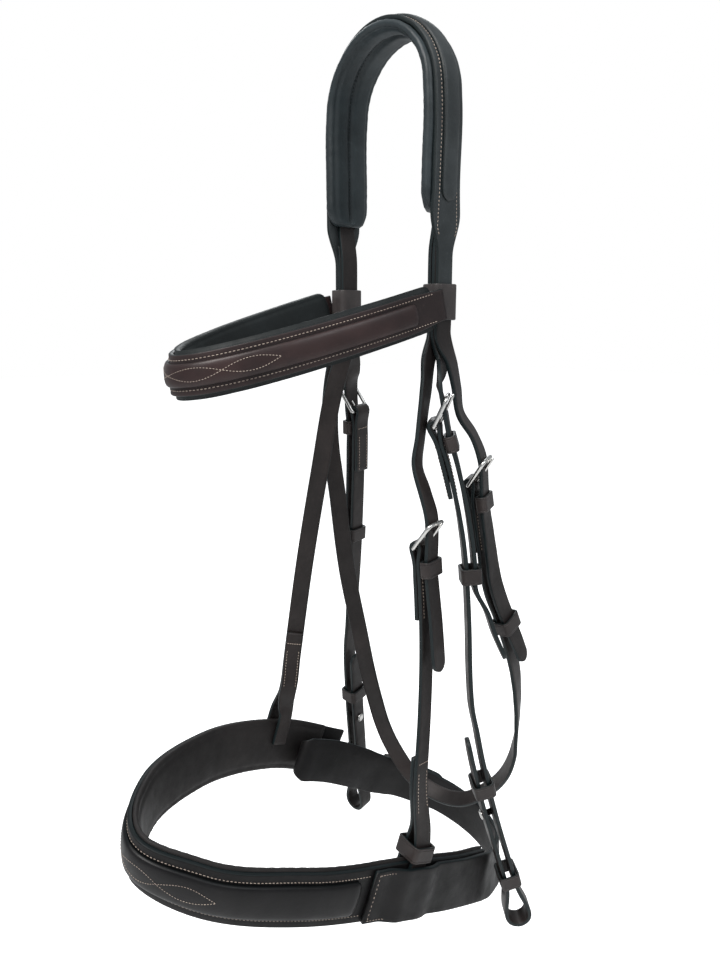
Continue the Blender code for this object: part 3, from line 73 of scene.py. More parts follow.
@dataclass(frozen=True)
class HeadSizes:
    """The head that the bridle fits, in metres."""

    spread: float = 0.046
    reach: float = 0.194
    drop: float = 0.588


@dataclass(frozen=True)
class StrapSizes:
    """Plain straps."""

    width: float = 0.0127
    thickness: float = 0.0028
    gap: float = 0.0003
    skived: float = 0.0009
    step: float = 0.017
    ring_step: float = 0.0026
    corner: float = 0.00085


@dataclass(frozen=True)
class CrownSizes:
    """Headpiece, with drops measured below the poll."""

    foot_drop: float = 0.174
    lip_drop: float = 0.103
    end_drop: float = 0.157
    taper_drop: float = 0.128
    step: float = 0.0085
    width: float = 0.027
    twist_deg: float = 11.0
    pad_thickness: float = 0.0090
    pad_width: float = 0.033
    pad_apex: float = 0.65
    pad_end: float = 0.55
    pad_taper: float = 0.010
    raised_width: float = 0.0145
    raised_thickness: float = 0.0027
    raised_end_drop: float = 0.098
    billet_start: float = 0.42
    stitch_end_drop: float = 0.117


@dataclass(frozen=True)
class BrowbandSizes:
    """Browband and its end loops."""

    drop: float = 0.1545
    dip: float = 0.0400
    reach: float = 0.150
    width: float = 0.0215
    end_width: float = 0.0180
    pad_width: float = 0.0260
    pad_thickness: float = 0.0055
    raised_width: float = 0.0125
    raised_thickness: float = 0.0030
    leather_start: float = 0.006
    raised_start: float = 0.028
    pad_start: float = 0.0125
    rows: int = 13
    loop_height: float = 0.0210
    loop_wall: float = 0.0022
    loop_clearance: float = 0.0006
    loop_corner: float = 0.0018
    lace_knots: tuple[float, ...] = (-0.0575, -0.0275, 0.0, 0.0275, 0.0575)


@dataclass(frozen=True)
class BuckleSizes:
    """Wire buckles, billets and keepers."""

    wire: float = 0.00135
    wire_seen: float = 0.00125
    tongue: float = 0.00095
    side_clearance: float = 0.0006
    length: float = 0.0195
    corner: float = 0.0042
    play: float = 0.0008
    stand: float = 0.0021
    overhang: float = 0.0012
    fold_blend: float = 0.0085
    turnback: float = 0.046
    slant_deg: float = 40.0
    before_front: float = 1.5
    keeper_height: float = 0.0102
    keeper_wall: float = 0.0017
    keeper_clearance: float = 0.0007
    keeper_corner: float = 0.0012
    keeper_seat: float = 0.0078
    tail_span: float = 0.150


@dataclass(frozen=True)
class CheekSizes:
    """Cheekpieces, with their bit loops and hook studs."""

    loop_radius: float = 0.0080
    loop_blend: float = 0.026
    pair_out: float = 0.0034
    return_length: float = 0.150
    stud_place: float = 0.088
    stud_radius: float = 0.0021
    stud_head: float = 0.0034
    stud_height: float = 0.0016
    runner_place: float = 0.098
    bit_runner_place: float = 0.112
    throat_runner_place: float = 0.102


@dataclass(frozen=True)
class NoseSizes:
    """Nose piece and its hangers."""

    width: float = 0.036
    thickness: float = 0.0030
    step: float = 0.0125
    pad_width: float = 0.038
    pad_thickness: float = 0.0050
    raised_width: float = 0.0225
    raised_thickness: float = 0.0036
    raised_gap: float = 0.00045
    near_place: float = 0.156
    far_place: float = 0.850
    flap_start: float = 0.222
    raised_from: float = 0.235
    raised_to: float = 0.800
    lap: float = 0.017
    spread_drop: float = 0.030
    sewn_length: float = 0.045
    flap_ramp: float = 0.012
    flap_margin: float = 0.003
    lace_knots: tuple[float, ...] = (-0.0448, -0.0121, 0.0121, 0.0448)


@dataclass(frozen=True)
class ChinSizes:
    """Chin strap, its buckle and its dee."""

    width: float = 0.034
    thickness: float = 0.0030
    taper_length: float = 0.060
    turn_width: float = 0.033
    turn_radius: float = 0.0042
    tail_width: float = 0.019
    tail_length: float = 0.062
    free_length: float = 0.066
    back_length: float = 0.095
    slant_deg: float = 25.0
    ride: float = 0.0028
    keeper_height: float = 0.0070
    chape_thickness: float = 0.0022
    chape_length: float = 0.034
    dee_wire: float = 0.0016
    dee_wire_seen: float = 0.00135
    turn_thickness: float = 0.0021
    dee_length: float = 0.021
    dee_stand: float = 0.0080
    dee_turn_deg: float = 38.0
    dee_lowered: float = 0.004
    dee_clearance: float = 0.0020


@dataclass(frozen=True)
class StitchSizes:
    """Thread laid in short stitches."""

    pitch: float = 0.0022
    length: float = 0.00155
    width: float = 0.00052
    height: float = 0.00040
    lace_pitch: float = 0.0017
    lace_scale: float = 0.78


HEAD = HeadSizes()
STRAP = StrapSizes()
CROWN = CrownSizes()
BROW = BrowbandSizes()
BUCKLE = BuckleSizes()
CHEEK = CheekSizes()
NOSE = NoseSizes()
CHIN = ChinSizes()
STITCH = StitchSizes()

NEAR_CHEEK: tuple[Share, ...] = (
    (1.13, -0.052, 0.386, 40, 0), (1.21, -0.023, 0.423, 44, 0), (1.34, 0.030, 0.515, 50, 0),
    (1.43, 0.037, 0.590, 52, 0), (1.53, 0.034, 0.678, 52, 0), (1.60, 0.042, 0.728, 54, 0),
    (1.65, 0.076, 0.780, 58, 0), (1.71, 0.142, 0.855, 60, 0), (1.80, 0.200, 0.918, 58, 0),
    (1.90, 0.246, 0.980, 52, 0))
FAR_CHEEK: tuple[Share, ...] = (
    (-1.154, 0.100, 0.389, 188, 0), (-1.213, 0.112, 0.441, 190, 0), (-1.360, 0.127, 0.571, 190, 0),
    (-1.526, 0.132, 0.711, 190, 0), (-1.634, 0.161, 0.793, 190, 0), (-1.790, 0.216, 0.925, 190, 0),
    (-1.859, 0.232, 0.984, 190, 0))
NEAR_THROAT: tuple[Share, ...] = (
    (1.045, 0.010, 0.303, 13, 0), (1.13, 0.040, 0.345, 24, 0), (1.18, 0.062, 0.383, 28, 0))
NEAR_CHEEK_BILLET: tuple[Share, ...] = ((0.965, -0.002, 0.303, 13, 0), (1.05, 0.000, 0.332, 26, 0))
FAR_CHEEK_BILLET: tuple[Share, ...] = ((-0.975, 0.016, 0.303, 180, 0), (-1.045, 0.040, 0.334, 184, 0))
NEAR_NOSE_BILLET: tuple[Share, ...] = (
    (0.90, -0.014, 0.303, 10, 0), (1.01, -0.062, 0.345, 20, 0), (1.07, -0.095, 0.390, 26, 0),
    (1.11, -0.118, 0.430, 24, 0))
NEAR_NOSE: tuple[Share, ...] = (
    (1.18, -0.117, 0.510, 14, 0), (1.24, -0.113, 0.568, 12, 0), (1.30, -0.119, 0.634, 12, 0),
    (1.38, -0.142, 0.699, 12, 0), (1.46, -0.172, 0.764, 10, 0))
FAR_NOSE: tuple[Share, ...] = (
    (-0.880, -0.010, 0.303, 178, 0), (-1.005, -0.040, 0.350, 150, 0), (-1.135, -0.100, 0.462, 142, 0),
    (-1.242, -0.155, 0.575, 142, 0), (-1.340, -0.200, 0.690, 146, 0), (-1.389, -0.222, 0.745, 155, 0))
THROATLASH: tuple[Share, ...] = (
    (-1.13, -0.012, 0.325, 178, 0), (-1.19, -0.034, 0.400, 168, 0), (-1.24, 0.010, 0.500, 160, 0),
    (-1.28, 0.060, 0.600, 152, 0), (-1.27, 0.120, 0.690, 142, 0), (-1.20, 0.175, 0.780, 128, -10),
    (-1.00, 0.235, 0.860, 115, -35), (-0.54, 0.300, 0.912, 100, -55), (0.10, 0.350, 0.920, 90, -60),
    (0.78, 0.365, 0.880, 78, -45), (1.30, 0.340, 0.820, 55, -15), (1.49, 0.312, 0.745, 30, 0),
    (1.47, 0.298, 0.690, 16, 0), (1.41, 0.240, 0.625, 8, 0), (1.34, 0.172, 0.572, 6, 0),
    (1.28, 0.136, 0.515, 16, 0), (1.22, 0.106, 0.452, 24, 0))
NOSE_PIECE: tuple[Share, ...] = (
    (1.46, 0.130, 0.932, 10, 0), (1.54, -0.040, 0.906, 0, 0), (1.51, -0.220, 0.881, -6, 0),
    (1.25, -0.610, 0.837, -32, 0), (0.72, -0.870, 0.806, -58, 0), (0.00, -0.985, 0.784, -90, 0),
    (-0.72, -0.870, 0.776, -122, 0), (-1.25, -0.610, 0.782, -148, 0),
    (-1.54, -0.260, 0.818, -172, 0), (-1.63, 0.060, 0.876, -182, 0))
CHIN_BACK: tuple[Share, ...] = (
    (1.38, 0.245, 0.952, 28, 0), (1.02, 0.385, 0.966, 58, 0), (0.40, 0.450, 0.964, 80, 0),
    (-0.42, 0.430, 0.952, 100, 0), (-0.94, 0.335, 0.936, 125, 0), (-1.16, 0.200, 0.913, 155, 0),
    (-1.20, 0.060, 0.882, 176, 0), (-1.20, -0.060, 0.858, 184, 0), (-1.20, -0.165, 0.842, 186, 0))
NEAR_TAIL = ((0.75, 0.02), (0.88, 0.06), (1.03, 0.12))
FAR_TAIL = ((0.83, 0.01), (0.93, 0.02))
THROAT_TAIL = ((0.78, 0.01), (0.88, 0.02))
NOSE_TAIL = ((0.34, 0.013), (0.52, 0.027))


def blend(value: float) -> float:
    """A smooth step from 0 to 1."""
    value = min(max(value, 0.0), 1.0)
    return value * value * (3.0 - 2.0 * value)


def facing(turn_deg: float, tip_deg: float) -> Vector:
    """The direction that a strap's outer face looks in."""
    turn = math.radians(turn_deg)
    tip = math.radians(tip_deg)
    return Vector((math.cos(turn) * math.cos(tip), math.sin(turn) * math.cos(tip), math.sin(tip)))


def rows_from(shares: Iterable[Share]) -> list[Row]:
    """Route rows, a place and a facing each, from a table of shares of the head's sizes."""
    return [(Vector((across * HEAD.spread, reach * HEAD.reach, -drop * HEAD.drop)),
             facing(turn_deg, tip_deg)) for across, reach, drop, turn_deg, tip_deg in shares]


def amount(value: Amount, mark: float) -> float:
    """A size that is either one number or a function of the length along a route."""
    return value(mark) if callable(value) else value


def marks_between(start: float, end: float, step: float = STRAP.step) -> list[float]:
    """Even lengths from start to end, both included."""
    count = max(1, math.ceil(abs(end - start) / step))
    return [start + (end - start) * index / count for index in range(count + 1)]


@dataclass
class Frame:
    """A place on a route with its three directions."""

    place: Vector
    along: Vector
    outward: Vector
    across: Vector

    def at(self, side: float = 0.0, out: float = 0.0, down: float = 0.0) -> Vector:
        """A point beside the place."""
        return self.place + self.across * side + self.outward * out + self.along * down


class Route:
    """A smooth line through rows of places and facings, read by its length from the start."""

    SPANS = 10

    def __init__(self, rows: Sequence[Row]) -> None:
        self.points: list[Vector] = []
        self.faces: list[Vector] = []
        count = len(rows)
        for index in range(count - 1):
            before = rows[max(index - 1, 0)]
            first, second = rows[index], rows[index + 1]
            after = rows[min(index + 2, count - 1)]
            span = (second[0] - first[0]).length
            into = self._slope(before[0], first[0], second[0], span)
            out = self._slope(first[0], second[0], after[0], span)
            for step in range(self.SPANS):
                share = step / self.SPANS
                self.points.append(self._hermite(first[0], into, second[0], out, share))
                self.faces.append(first[1].lerp(second[1], blend(share)).normalized())
        self.points.append(rows[-1][0].copy())
        self.faces.append(rows[-1][1].copy())
        self.marks = [0.0]
        for first_point, second_point in zip(self.points, self.points[1:]):
            self.marks.append(self.marks[-1] + (second_point - first_point).length)
        self.length = self.marks[-1]

    @staticmethod
    def _slope(before: Vector, here: Vector, after: Vector, span: float) -> Vector:
        left = (here - before).length
        right = (after - here).length
        if left == 0.0 or right == 0.0:
            return (after - before).normalized() * span
        return ((here - before) / left * right + (after - here) / right * left) / (left + right) * span

    @staticmethod
    def _hermite(start: Vector, into: Vector, end: Vector, out: Vector, share: float) -> Vector:
        square = share * share
        cube = square * share
        return (start * (2 * cube - 3 * square + 1) + into * (cube - 2 * square + share)
                + end * (3 * square - 2 * cube) + out * (cube - square))

    def _tangent(self, index: int) -> Vector:
        low = max(index - 1, 0)
        high = min(index + 1, len(self.points) - 1)
        return (self.points[high] - self.points[low]).normalized()

    def frame(self, mark: float) -> Frame:
        """Place and directions at a length; straight on past both ends.

        Args:
            mark: The length from the start, in metres.

        Returns:
            The frame there.
        """
        inside = min(max(mark, 0.0), self.length)
        index = min(max(bisect_left(self.marks, inside) - 1, 0), len(self.marks) - 2)
        span = self.marks[index + 1] - self.marks[index]
        share = (inside - self.marks[index]) / span
        place = self.points[index].lerp(self.points[index + 1], share)
        face = self.faces[index].lerp(self.faces[index + 1], share)
        along = self._tangent(index).lerp(self._tangent(index + 1), share).normalized()
        outward = (face - along * face.dot(along)).normalized()
        return Frame(place + along * (mark - inside), along, outward, along.cross(outward))

    def at(self, mark: float, out: float = 0.0, side: float = 0.0) -> Vector:
        """A point beside the route."""
        return self.frame(mark).at(side, out)


@dataclass
class Ring:
    """One section of a swept piece: its frame, its size and its length along the piece."""

    frame: Frame
    width: float
    thickness: float
    run: float


SectionPoint = tuple[float, float, float]


def strap_section(width: float, thickness: float) -> list[SectionPoint]:
    """A strap's section: rounded edges and a slightly full outer face.

    Args:
        width: The strap's width there.
        thickness: The strap's thickness there.

    Returns:
        Points as across, outward and edge, which is 1 on the cut edges and 0 on the faces.
    """
    half = width / 2
    up = thickness / 2
    bend = min(STRAP.corner, up * 0.72, half * 0.8)
    points: list[SectionPoint] = []
    for side_sign, up_sign, start_deg in ((1, -1, -90), (1, 1, 0), (-1, 1, 90), (-1, -1, 180)):
        for step in range(4):
            angle = math.radians(start_deg + 30 * step)
            turn = abs(math.cos(angle))
            points.append((side_sign * (half - bend) + bend * math.cos(angle),
                           up_sign * (up - bend) + bend * math.sin(angle), blend(turn * 1.6 - 0.5)))
        if up_sign == 1 and side_sign == 1:
            points += [(half * 0.82, up - bend * 0.02, 0.0), (half * 0.40, up, 0.0),
                       (0.0, up, 0.0), (-half * 0.40, up, 0.0), (-half * 0.82, up - bend * 0.02, 0.0)]
        if up_sign == -1 and side_sign == -1:
            points += [(-half * 0.5, -up, 0.0), (half * 0.5, -up, 0.0)]
    return points


def dome_section(width: float, thickness: float) -> list[SectionPoint]:
    """A raised strip's section, measured from its flat underside: a full dome with a thin lip."""
    half = width / 2
    points: list[SectionPoint] = [(-half, 0.0, 1.0), (half, 0.0, 1.0)]
    for step in range(15):
        angle = math.pi * step / 14
        side = math.cos(angle)
        points.append((half * side, thickness * (0.16 + 0.84 * math.sin(angle) ** 0.62),
                       blend(abs(side) * 8.0 - 7.2)))
    return points


def pad_section(width: float, thickness: float) -> list[SectionPoint]:
    """A padded lining's section, hanging from its flat top: full and round on the inside."""
    half = width / 2
    points: list[SectionPoint] = []
    for step in range(41):
        angle = math.pi * step / 40
        side = -math.cos(angle)
        deep = math.sin(angle) ** 0.55
        points.append((half * side, -thickness * deep, 0.0))
    points += [(half * 0.6, 0.0, 0.0), (0.0, 0.0, 0.0), (-half * 0.6, 0.0, 0.0)]
    return points


class Sweep:
    """A skin over sections carried along frames, with its patterns' coordinates."""

    def __init__(self, name: str) -> None:
        self.name = name

    def make(self, rings: Sequence[Ring], section: Callable[[float, float], list[SectionPoint]],
             out: float = 0.0, closed: bool = False,
             shift: Callable[[Ring, float, float], float] | None = None) -> bpy.types.Object:
        """Build the piece from one grid that is wrapped round the sections.

        Args:
            rings: The sections' frames and sizes, in order.
            section: Gives a section's points from its width and thickness.
            out: How far the whole piece is moved outward.
            closed: Whether the last section joins the first.
            shift: Moves a point outward from its ring, its place across and its edge value.

        Returns:
            The finished object.
        """
        tables = [section(ring.width, ring.thickness) for ring in rings]
        count = len(tables[0])
        rows = len(rings) + (1 if closed else 0)
        bm = bmesh.new()
        bmesh.ops.create_grid(bm, x_segments=rows - 1, y_segments=count, size=0.5)
        layer = bm.loops.layers.uv.new("UVMap")
        edge_layer = bm.verts.layers.float.new("edge")
        total = rings[-1].run + (rings[-1].frame.place - rings[0].frame.place).length * closed
        where: dict[bmesh.types.BMVert, tuple[float, float]] = {}
        for vert in bm.verts:
            row = round((vert.co.x + 0.5) * (rows - 1))
            column = round((vert.co.y + 0.5) * count)
            ring = rings[row % len(rings)]
            side, up, edge = tables[row % len(rings)][column % count]
            if shift:
                up += shift(ring, side, edge)
            vert[edge_layer] = edge
            run = total if row == len(rings) else ring.run
            where[vert] = (run * 10.0, side / max(ring.width, 0.0001) + 0.5)
            vert.co = ring.frame.at(side, up + out)
        for face in bm.faces:
            face.smooth = True
            for loop in face.loops:
                loop[layer].uv = where[loop.vert]
        bmesh.ops.remove_doubles(bm, verts=bm.verts, dist=0.0000005)
        borders = [edge for edge in bm.edges if edge.is_boundary]
        bmesh.ops.holes_fill(bm, edges=borders, sides=0)
        bmesh.ops.recalc_face_normals(bm, faces=bm.faces)
        return finish_mesh(self.name, bm)


def finish_mesh(name: str, bm: bmesh.types.BMesh) -> bpy.types.Object:
    """Turn a bmesh into a linked object that sits at the origin."""
    mesh = bpy.data.meshes.new(name)
    bm.to_mesh(mesh)
    bm.free()
    thing = bpy.data.objects.new(name, mesh)
    bpy.context.scene.collection.objects.link(thing)
    return thing


class Ribbon:
    """Stations gathered along a strap, then drawn as one smooth band."""

    def __init__(self) -> None:
        self.points: list[Vector] = []
        self.acrosses: list[Vector] = []
        self.faces: list[Vector | None] = []
        self.sizes: list[tuple[float, float]] = []

    def add(self, point: Vector, across: Vector, width: float = STRAP.width,
            thickness: float = STRAP.thickness, face: Vector | None = None) -> None:
        """One more station; without a face the strap lies square to the way it runs."""
        self.points.append(point)
        self.acrosses.append(across)
        self.faces.append(face)
        self.sizes.append((width, thickness))

    def copy_from(self, other: "Ribbon", index: int, way: int = 1) -> None:
        """A station of another ribbon; way is -1 where this one runs against it."""
        face = other.faces[index]
        self.add(other.points[index], other.acrosses[index], *other.sizes[index],
                 None if face is None else face * way)

    def follow(self, route: Route, marks: Sequence[float], out: Amount = 0.0,
               width: Amount = STRAP.width, thickness: Amount = STRAP.thickness,
               forward: bool = True) -> None:
        """Stations along a route; the sizes may be functions of the mark."""
        way = 1 if marks[-1] >= marks[0] else -1
        turned = 1 if forward else -1
        for mark in marks:
            frame = route.frame(mark)
            self.add(frame.at(0.0, amount(out, mark)), frame.across * turned, amount(width, mark),
                     amount(thickness, mark), frame.outward * turned * way)

    def face_at(self, index: int) -> Vector:
        """The direction that the strap's outer side looks in at a station."""
        face = self.faces[index]
        if face is not None:
            return face
        last = len(self.points) - 1
        along = (self.points[min(index + 1, last)] - self.points[max(index - 1, 0)]).normalized()
        across = self.acrosses[index]
        across = (across - along * across.dot(along)).normalized()
        return across.cross(along)

    def smoothed(self, kept: int) -> "Ribbon":
        """The ribbon with its first stations kept and the rest on one smooth, even curve."""
        route = Route(list(zip(self.points, self.acrosses)))
        marks = [route.marks[index * Route.SPANS] for index in range(len(self.points))]
        result = Ribbon()
        for index in range(kept):
            result.copy_from(self, index)
        for mark in marks_between(marks[kept - 1], route.length)[1:]:
            index = 0
            while index < len(marks) - 2 and marks[index + 1] < mark:
                index += 1
            share = (mark - marks[index]) / (marks[index + 1] - marks[index])
            first, second = self.sizes[index], self.sizes[index + 1]
            frame = route.frame(mark)
            result.add(frame.place, frame.outward, first[0] + (second[0] - first[0]) * share,
                       first[1] + (second[1] - first[1]) * share)
        return result

    def rounded(self) -> "Ribbon":
        """Narrow the last stations into a rounded end."""
        point, before = self.points[-1], self.points[-2]
        along = (point - before).normalized()
        width, thickness = self.sizes[-1]
        radius = width / 2
        self.points[-1] = point - along * radius
        for share in (0.18, 0.34, 0.50, 0.64, 0.76, 0.86, 0.93, 0.975):
            narrow = math.sqrt(1.0 - share * share)
            self.add(point - along * radius * (1.0 - share), self.acrosses[-1], width * narrow, thickness)
        self.add(point, self.acrosses[-1], width * 0.12, thickness * 0.9)
        return self

    def rings(self) -> list[Ring]:
        """Fine sections on a smooth curve through the stations."""
        rows = [(point, self.face_at(index)) for index, point in enumerate(self.points)]
        route = Route(rows)
        result: list[Ring] = []
        for index in range(len(rows) - 1):
            start = route.marks[index * Route.SPANS]
            end = route.marks[(index + 1) * Route.SPANS]
            first, second = self.sizes[index], self.sizes[index + 1]
            steps = max(1, math.ceil((end - start) / STRAP.ring_step))
            for step in range(steps):
                share = step / steps
                mark = start + (end - start) * share
                result.append(Ring(route.frame(mark), first[0] + (second[0] - first[0]) * share,
                                   first[1] + (second[1] - first[1]) * share, mark))
        result.append(Ring(route.frame(route.length), *self.sizes[-1], route.length))
        return result

    def make(self, name: str) -> bpy.types.Object:
        """The finished strap."""
        return Sweep(name).make(self.rings(), strap_section)


def rings_on(route: Route, start: float, end: float, width: Amount, thickness: Amount,
             step: float = STRAP.ring_step) -> list[Ring]:
    """Fine sections along a stretch of a route."""
    return [Ring(route.frame(mark), amount(width, mark), amount(thickness, mark), mark)
            for mark in marks_between(start, end, step)]


class Thread:
    """Rows of short stitches, gathered into one piece."""

    def __init__(self, name: str) -> None:
        self.name = name
        self.scale = 1.0
        self.bm = bmesh.new()

    def stitch(self, place: Vector, along: Vector, outward: Vector) -> None:
        """One stitch: a flat oval of thread that lies on the leather."""
        across = along.cross(outward).normalized()
        turn = Matrix((along, across, outward)).transposed().to_4x4()
        half = self.scale / 2
        size = Matrix.Diagonal((STITCH.length * half, STITCH.width * half, STITCH.height * half, 1.0))
        bmesh.ops.create_uvsphere(self.bm, u_segments=6, v_segments=4, radius=1.0,
                                  matrix=Matrix.Translation(place) @ turn @ size)

    def line(self, points: Sequence[tuple[Vector, Vector]], pitch: float = STITCH.pitch) -> None:
        """Even stitches along a drawn line of places and facings."""
        run = 0.0
        due = pitch / 2
        for (first, face), (second, _) in zip(points, points[1:]):
            span = (second - first).length
            while span > 0.0 and run + span >= due:
                share = (due - run) / span
                along = (second - first).normalized()
                outward = (face - along * face.dot(along)).normalized()
                self.stitch(first.lerp(second, share), along, outward)
                due += pitch
            run += span

    def row(self, route: Route, start: float, end: float, side: Amount, out: Amount,
            way: int = 1, pitch: float = STITCH.pitch) -> None:
        """A row of stitches beside a route; way is -1 on a strap's inner face."""
        points = []
        for mark in marks_between(start, end, 0.0022):
            frame = route.frame(mark)
            points.append((frame.at(amount(side, mark), amount(out, mark)), frame.outward * way))
        self.line(points, pitch)

    def cross(self, route: Route, mark: float, half: float, out: float) -> None:
        """A heavy stitch across a strap, on both of its faces."""
        frame = route.frame(mark)
        for way in (-1, 1):
            ends = [(frame.at(side, out * way), frame.outward * way) for side in (-half, half)]
            self.line(ends, STITCH.lace_pitch)

    def make(self) -> bpy.types.Object:
        """The finished thread."""
        for face in self.bm.faces:
            face.smooth = True
        return finish_mesh(self.name, self.bm)


class Clasp:
    """A wire buckle on a folded strap end, and the way that the billet passes through it."""

    def __init__(self, name: str, route: Route, bar_mark: float, width: float,
                 billet: float = STRAP.thickness, strap: float = STRAP.thickness,
                 slant_deg: float = BUCKLE.slant_deg) -> None:
        self.name = name
        self.route = route
        self.bar_mark = bar_mark
        self.width = width
        self.billet = billet
        self.strap = strap
        self.slant = math.radians(slant_deg)
        self.ride = BUCKLE.keeper_wall + BUCKLE.keeper_clearance
        self.layer = (strap + STRAP.gap) / 2
        self.fold_radius = BUCKLE.wire + STRAP.gap + strap / 2

    @property
    def bar(self) -> Frame:
        """The frame of the strap at the buckle's bar."""
        return self.route.frame(self.bar_mark)

    def point(self, down: float, out: float, side: float = 0.0) -> Vector:
        """A place from its distance down the strap, out of it and across it."""
        return self.bar.at(side, out, down)

    def layer_out(self, down: float) -> float:
        """How far a layer of the fold lies from the route."""
        return self.fold_radius + (self.layer - self.fold_radius) * blend(down / BUCKLE.fold_blend)

    def front_out(self) -> float:
        """How far the billet's middle lies from the route at the front bar."""
        front = BUCKLE.length * math.sin(self.slant)
        return front - BUCKLE.wire - BUCKLE.play - self.billet / 2

    def billet_out(self, down: float) -> float:
        """How far the billet's middle lies from the route, above and below the bar."""
        bar = self.fold_radius + self.strap / 2 + STRAP.gap + self.billet / 2 + BUCKLE.stand
        flat = self.layer + self.strap / 2 + STRAP.gap + self.billet / 2 + self.ride
        if down >= 0.0:
            return bar + (flat - bar) * blend(down / BUCKLE.fold_blend)
        reach = BUCKLE.length * math.cos(self.slant)
        return bar + (self.front_out() - bar) * blend(-down / reach)

    def billet_span(self) -> tuple[float, float]:
        """The billet's inner and outer faces below the fold."""
        flat = self.billet_out(BUCKLE.fold_blend)
        return flat - self.billet / 2, flat + self.billet / 2

    def on_tongue(self, reach: float) -> tuple[float, float]:
        """A point on the tongue's middle, at a reach from the bar."""
        lift = BUCKLE.wire + STRAP.gap + BUCKLE.tongue
        return (-reach * math.cos(self.slant) + lift * math.sin(self.slant),
                reach * math.sin(self.slant) + lift * math.cos(self.slant))

    def add_fold(self, ribbon: Ribbon, turnback: float) -> None:
        """The strap's folded end: up the inner side, over the bar and on to the outer side."""
        size = (self.width, self.strap)
        if turnback > BUCKLE.fold_blend:
            for down in reversed(marks_between(BUCKLE.fold_blend, turnback)):
                mark = self.bar_mark + down
                ribbon.add(self.route.at(mark, -self.layer), -self.route.frame(mark).across, *size)
        side = -self.bar.across
        for down in (BUCKLE.fold_blend / 2, 0.0):
            ribbon.add(self.point(down, -self.layer_out(down)), side, *size)
        for angle_deg in (36, 72, 108, 144):
            angle = math.radians(angle_deg)
            ribbon.add(self.point(-self.fold_radius * math.sin(angle),
                                  -self.fold_radius * math.cos(angle)), side, *size)
        for down in (0.0, BUCKLE.fold_blend / 2):
            ribbon.add(self.point(down, self.layer_out(down)), side, *size)

    def add_billet(self, ribbon: Ribbon, tail: Sequence[tuple[float, float]], keeper_end: float) -> None:
        """A billet through the buckle, down to its keepers and out to its tail."""
        front = -BUCKLE.length * math.cos(self.slant)
        for down in (front * BUCKLE.before_front, front, front / 2, 0.0, BUCKLE.fold_blend / 2):
            ribbon.add(self.point(down, self.billet_out(down)), self.bar.across, self.width, self.billet)
        stations = [(down, 0.0) for down in marks_between(BUCKLE.fold_blend, keeper_end)]
        stations += [(BUCKLE.tail_span * down, BUCKLE.tail_span * away) for down, away in tail]
        for down, away in stations:
            frame = self.route.frame(self.bar_mark + down)
            ribbon.add(frame.at(0.0, self.billet_out(down) + away), frame.across, self.width, self.billet)

    def frame_piece(self) -> bpy.types.Object:
        """The wire frame: the bar in the fold, two sides and the front bar."""
        half = self.width / 2 + BUCKLE.side_clearance + BUCKLE.wire
        down = -BUCKLE.length * math.cos(self.slant)
        out = BUCKLE.length * math.sin(self.slant)
        corners = [self.point(0.0, 0.0, -half), self.point(0.0, 0.0, half),
                   self.point(down, out, half), self.point(down, out, -half)]
        bend = min(BUCKLE.corner, half / 2)
        return wire_loop(self.name + "_frame_wire", corners, BUCKLE.wire_seen, bend)

    def tongue_piece(self) -> bpy.types.Object:
        """The tongue: a wire curled round the bar, lying on the front bar."""
        lift = BUCKLE.wire + STRAP.gap + BUCKLE.tongue
        end = BUCKLE.length + BUCKLE.wire + BUCKLE.overhang
        places = []
        for step in range(25):
            angle = math.radians(270) * (1 - step / 24)
            places.append((lift * math.sin(self.slant + angle), lift * math.cos(self.slant + angle)))
        for share in (0.12, 0.25, 0.4, 0.55, 0.7, 0.85, 0.95, 1.0):
            places.append(self.on_tongue(end * share))
        path = [self.point(*place) for place in places]
        return wire_bar(self.name + "_tongue_wire", path, self.bar.across, BUCKLE.tongue)


def tube(name: str, path: Sequence[Vector], normal: Vector, radii: Sequence[float],
         closed: bool, sides: int = 16) -> bpy.types.Object:
    """Round wire along a path that lies in a plane.

    Args:
        name: The object's name.
        path: The wire's middle, point by point.
        normal: The direction square to the path's plane.
        radii: The wire's radius at each point.
        closed: Whether the wire is a ring.
        sides: How many faces go round the wire.

    Returns:
        The finished object.
    """
    count = len(path)
    rings: list[Ring] = []
    run = 0.0
    for index, point in enumerate(path):
        before = path[index - 1] if closed or index else point
        after = path[(index + 1) % count] if closed or index < count - 1 else point
        arriving = point - before
        leaving = after - point
        along = (arriving.normalized() + leaving.normalized()).normalized()
        stretch = 1.0 / max(along.dot((leaving if leaving.length else arriving).normalized()), 0.5)
        side = along.cross(normal).normalized()
        rings.append(Ring(Frame(point, along, normal, side), radii[index] * stretch, radii[index], run))
        run += leaving.length

    def section(width: float, thickness: float) -> list[SectionPoint]:
        angles = [math.tau * (step + 0.5) / sides for step in range(sides)]
        return [(width * math.cos(angle), thickness * math.sin(angle), 0.0) for angle in angles]

    return Sweep(name).make(rings, section, closed=closed)


def wire_loop(name: str, corners: Sequence[Vector], radius: float, bend: float) -> bpy.types.Object:
    """A wire frame with tight corners at the bar and round ones at the front."""
    path: list[Vector] = []
    for index, here in enumerate(corners):
        before = corners[index - 1]
        after = corners[(index + 1) % 4]
        turn = bend if index > 1 else radius * 0.9
        start = here + (before - here).normalized() * turn
        end = here + (after - here).normalized() * turn
        path += [start.lerp(here, step / 8).lerp(here.lerp(end, step / 8), step / 8) for step in range(9)]
    normal = (corners[1] - corners[0]).cross(corners[2] - corners[1]).normalized()
    return tube(name, path, normal, [radius] * len(path), True)


def wire_bar(name: str, path: Sequence[Vector], normal: Vector, radius: float) -> bpy.types.Object:
    """An open wire with a rounded tip."""
    radii = [radius] * len(path)
    radii[-2:] = [radius * 0.92, radius * 0.5]
    radii[0] = radius * 0.6
    return tube(name, path, normal, radii, False, 12)


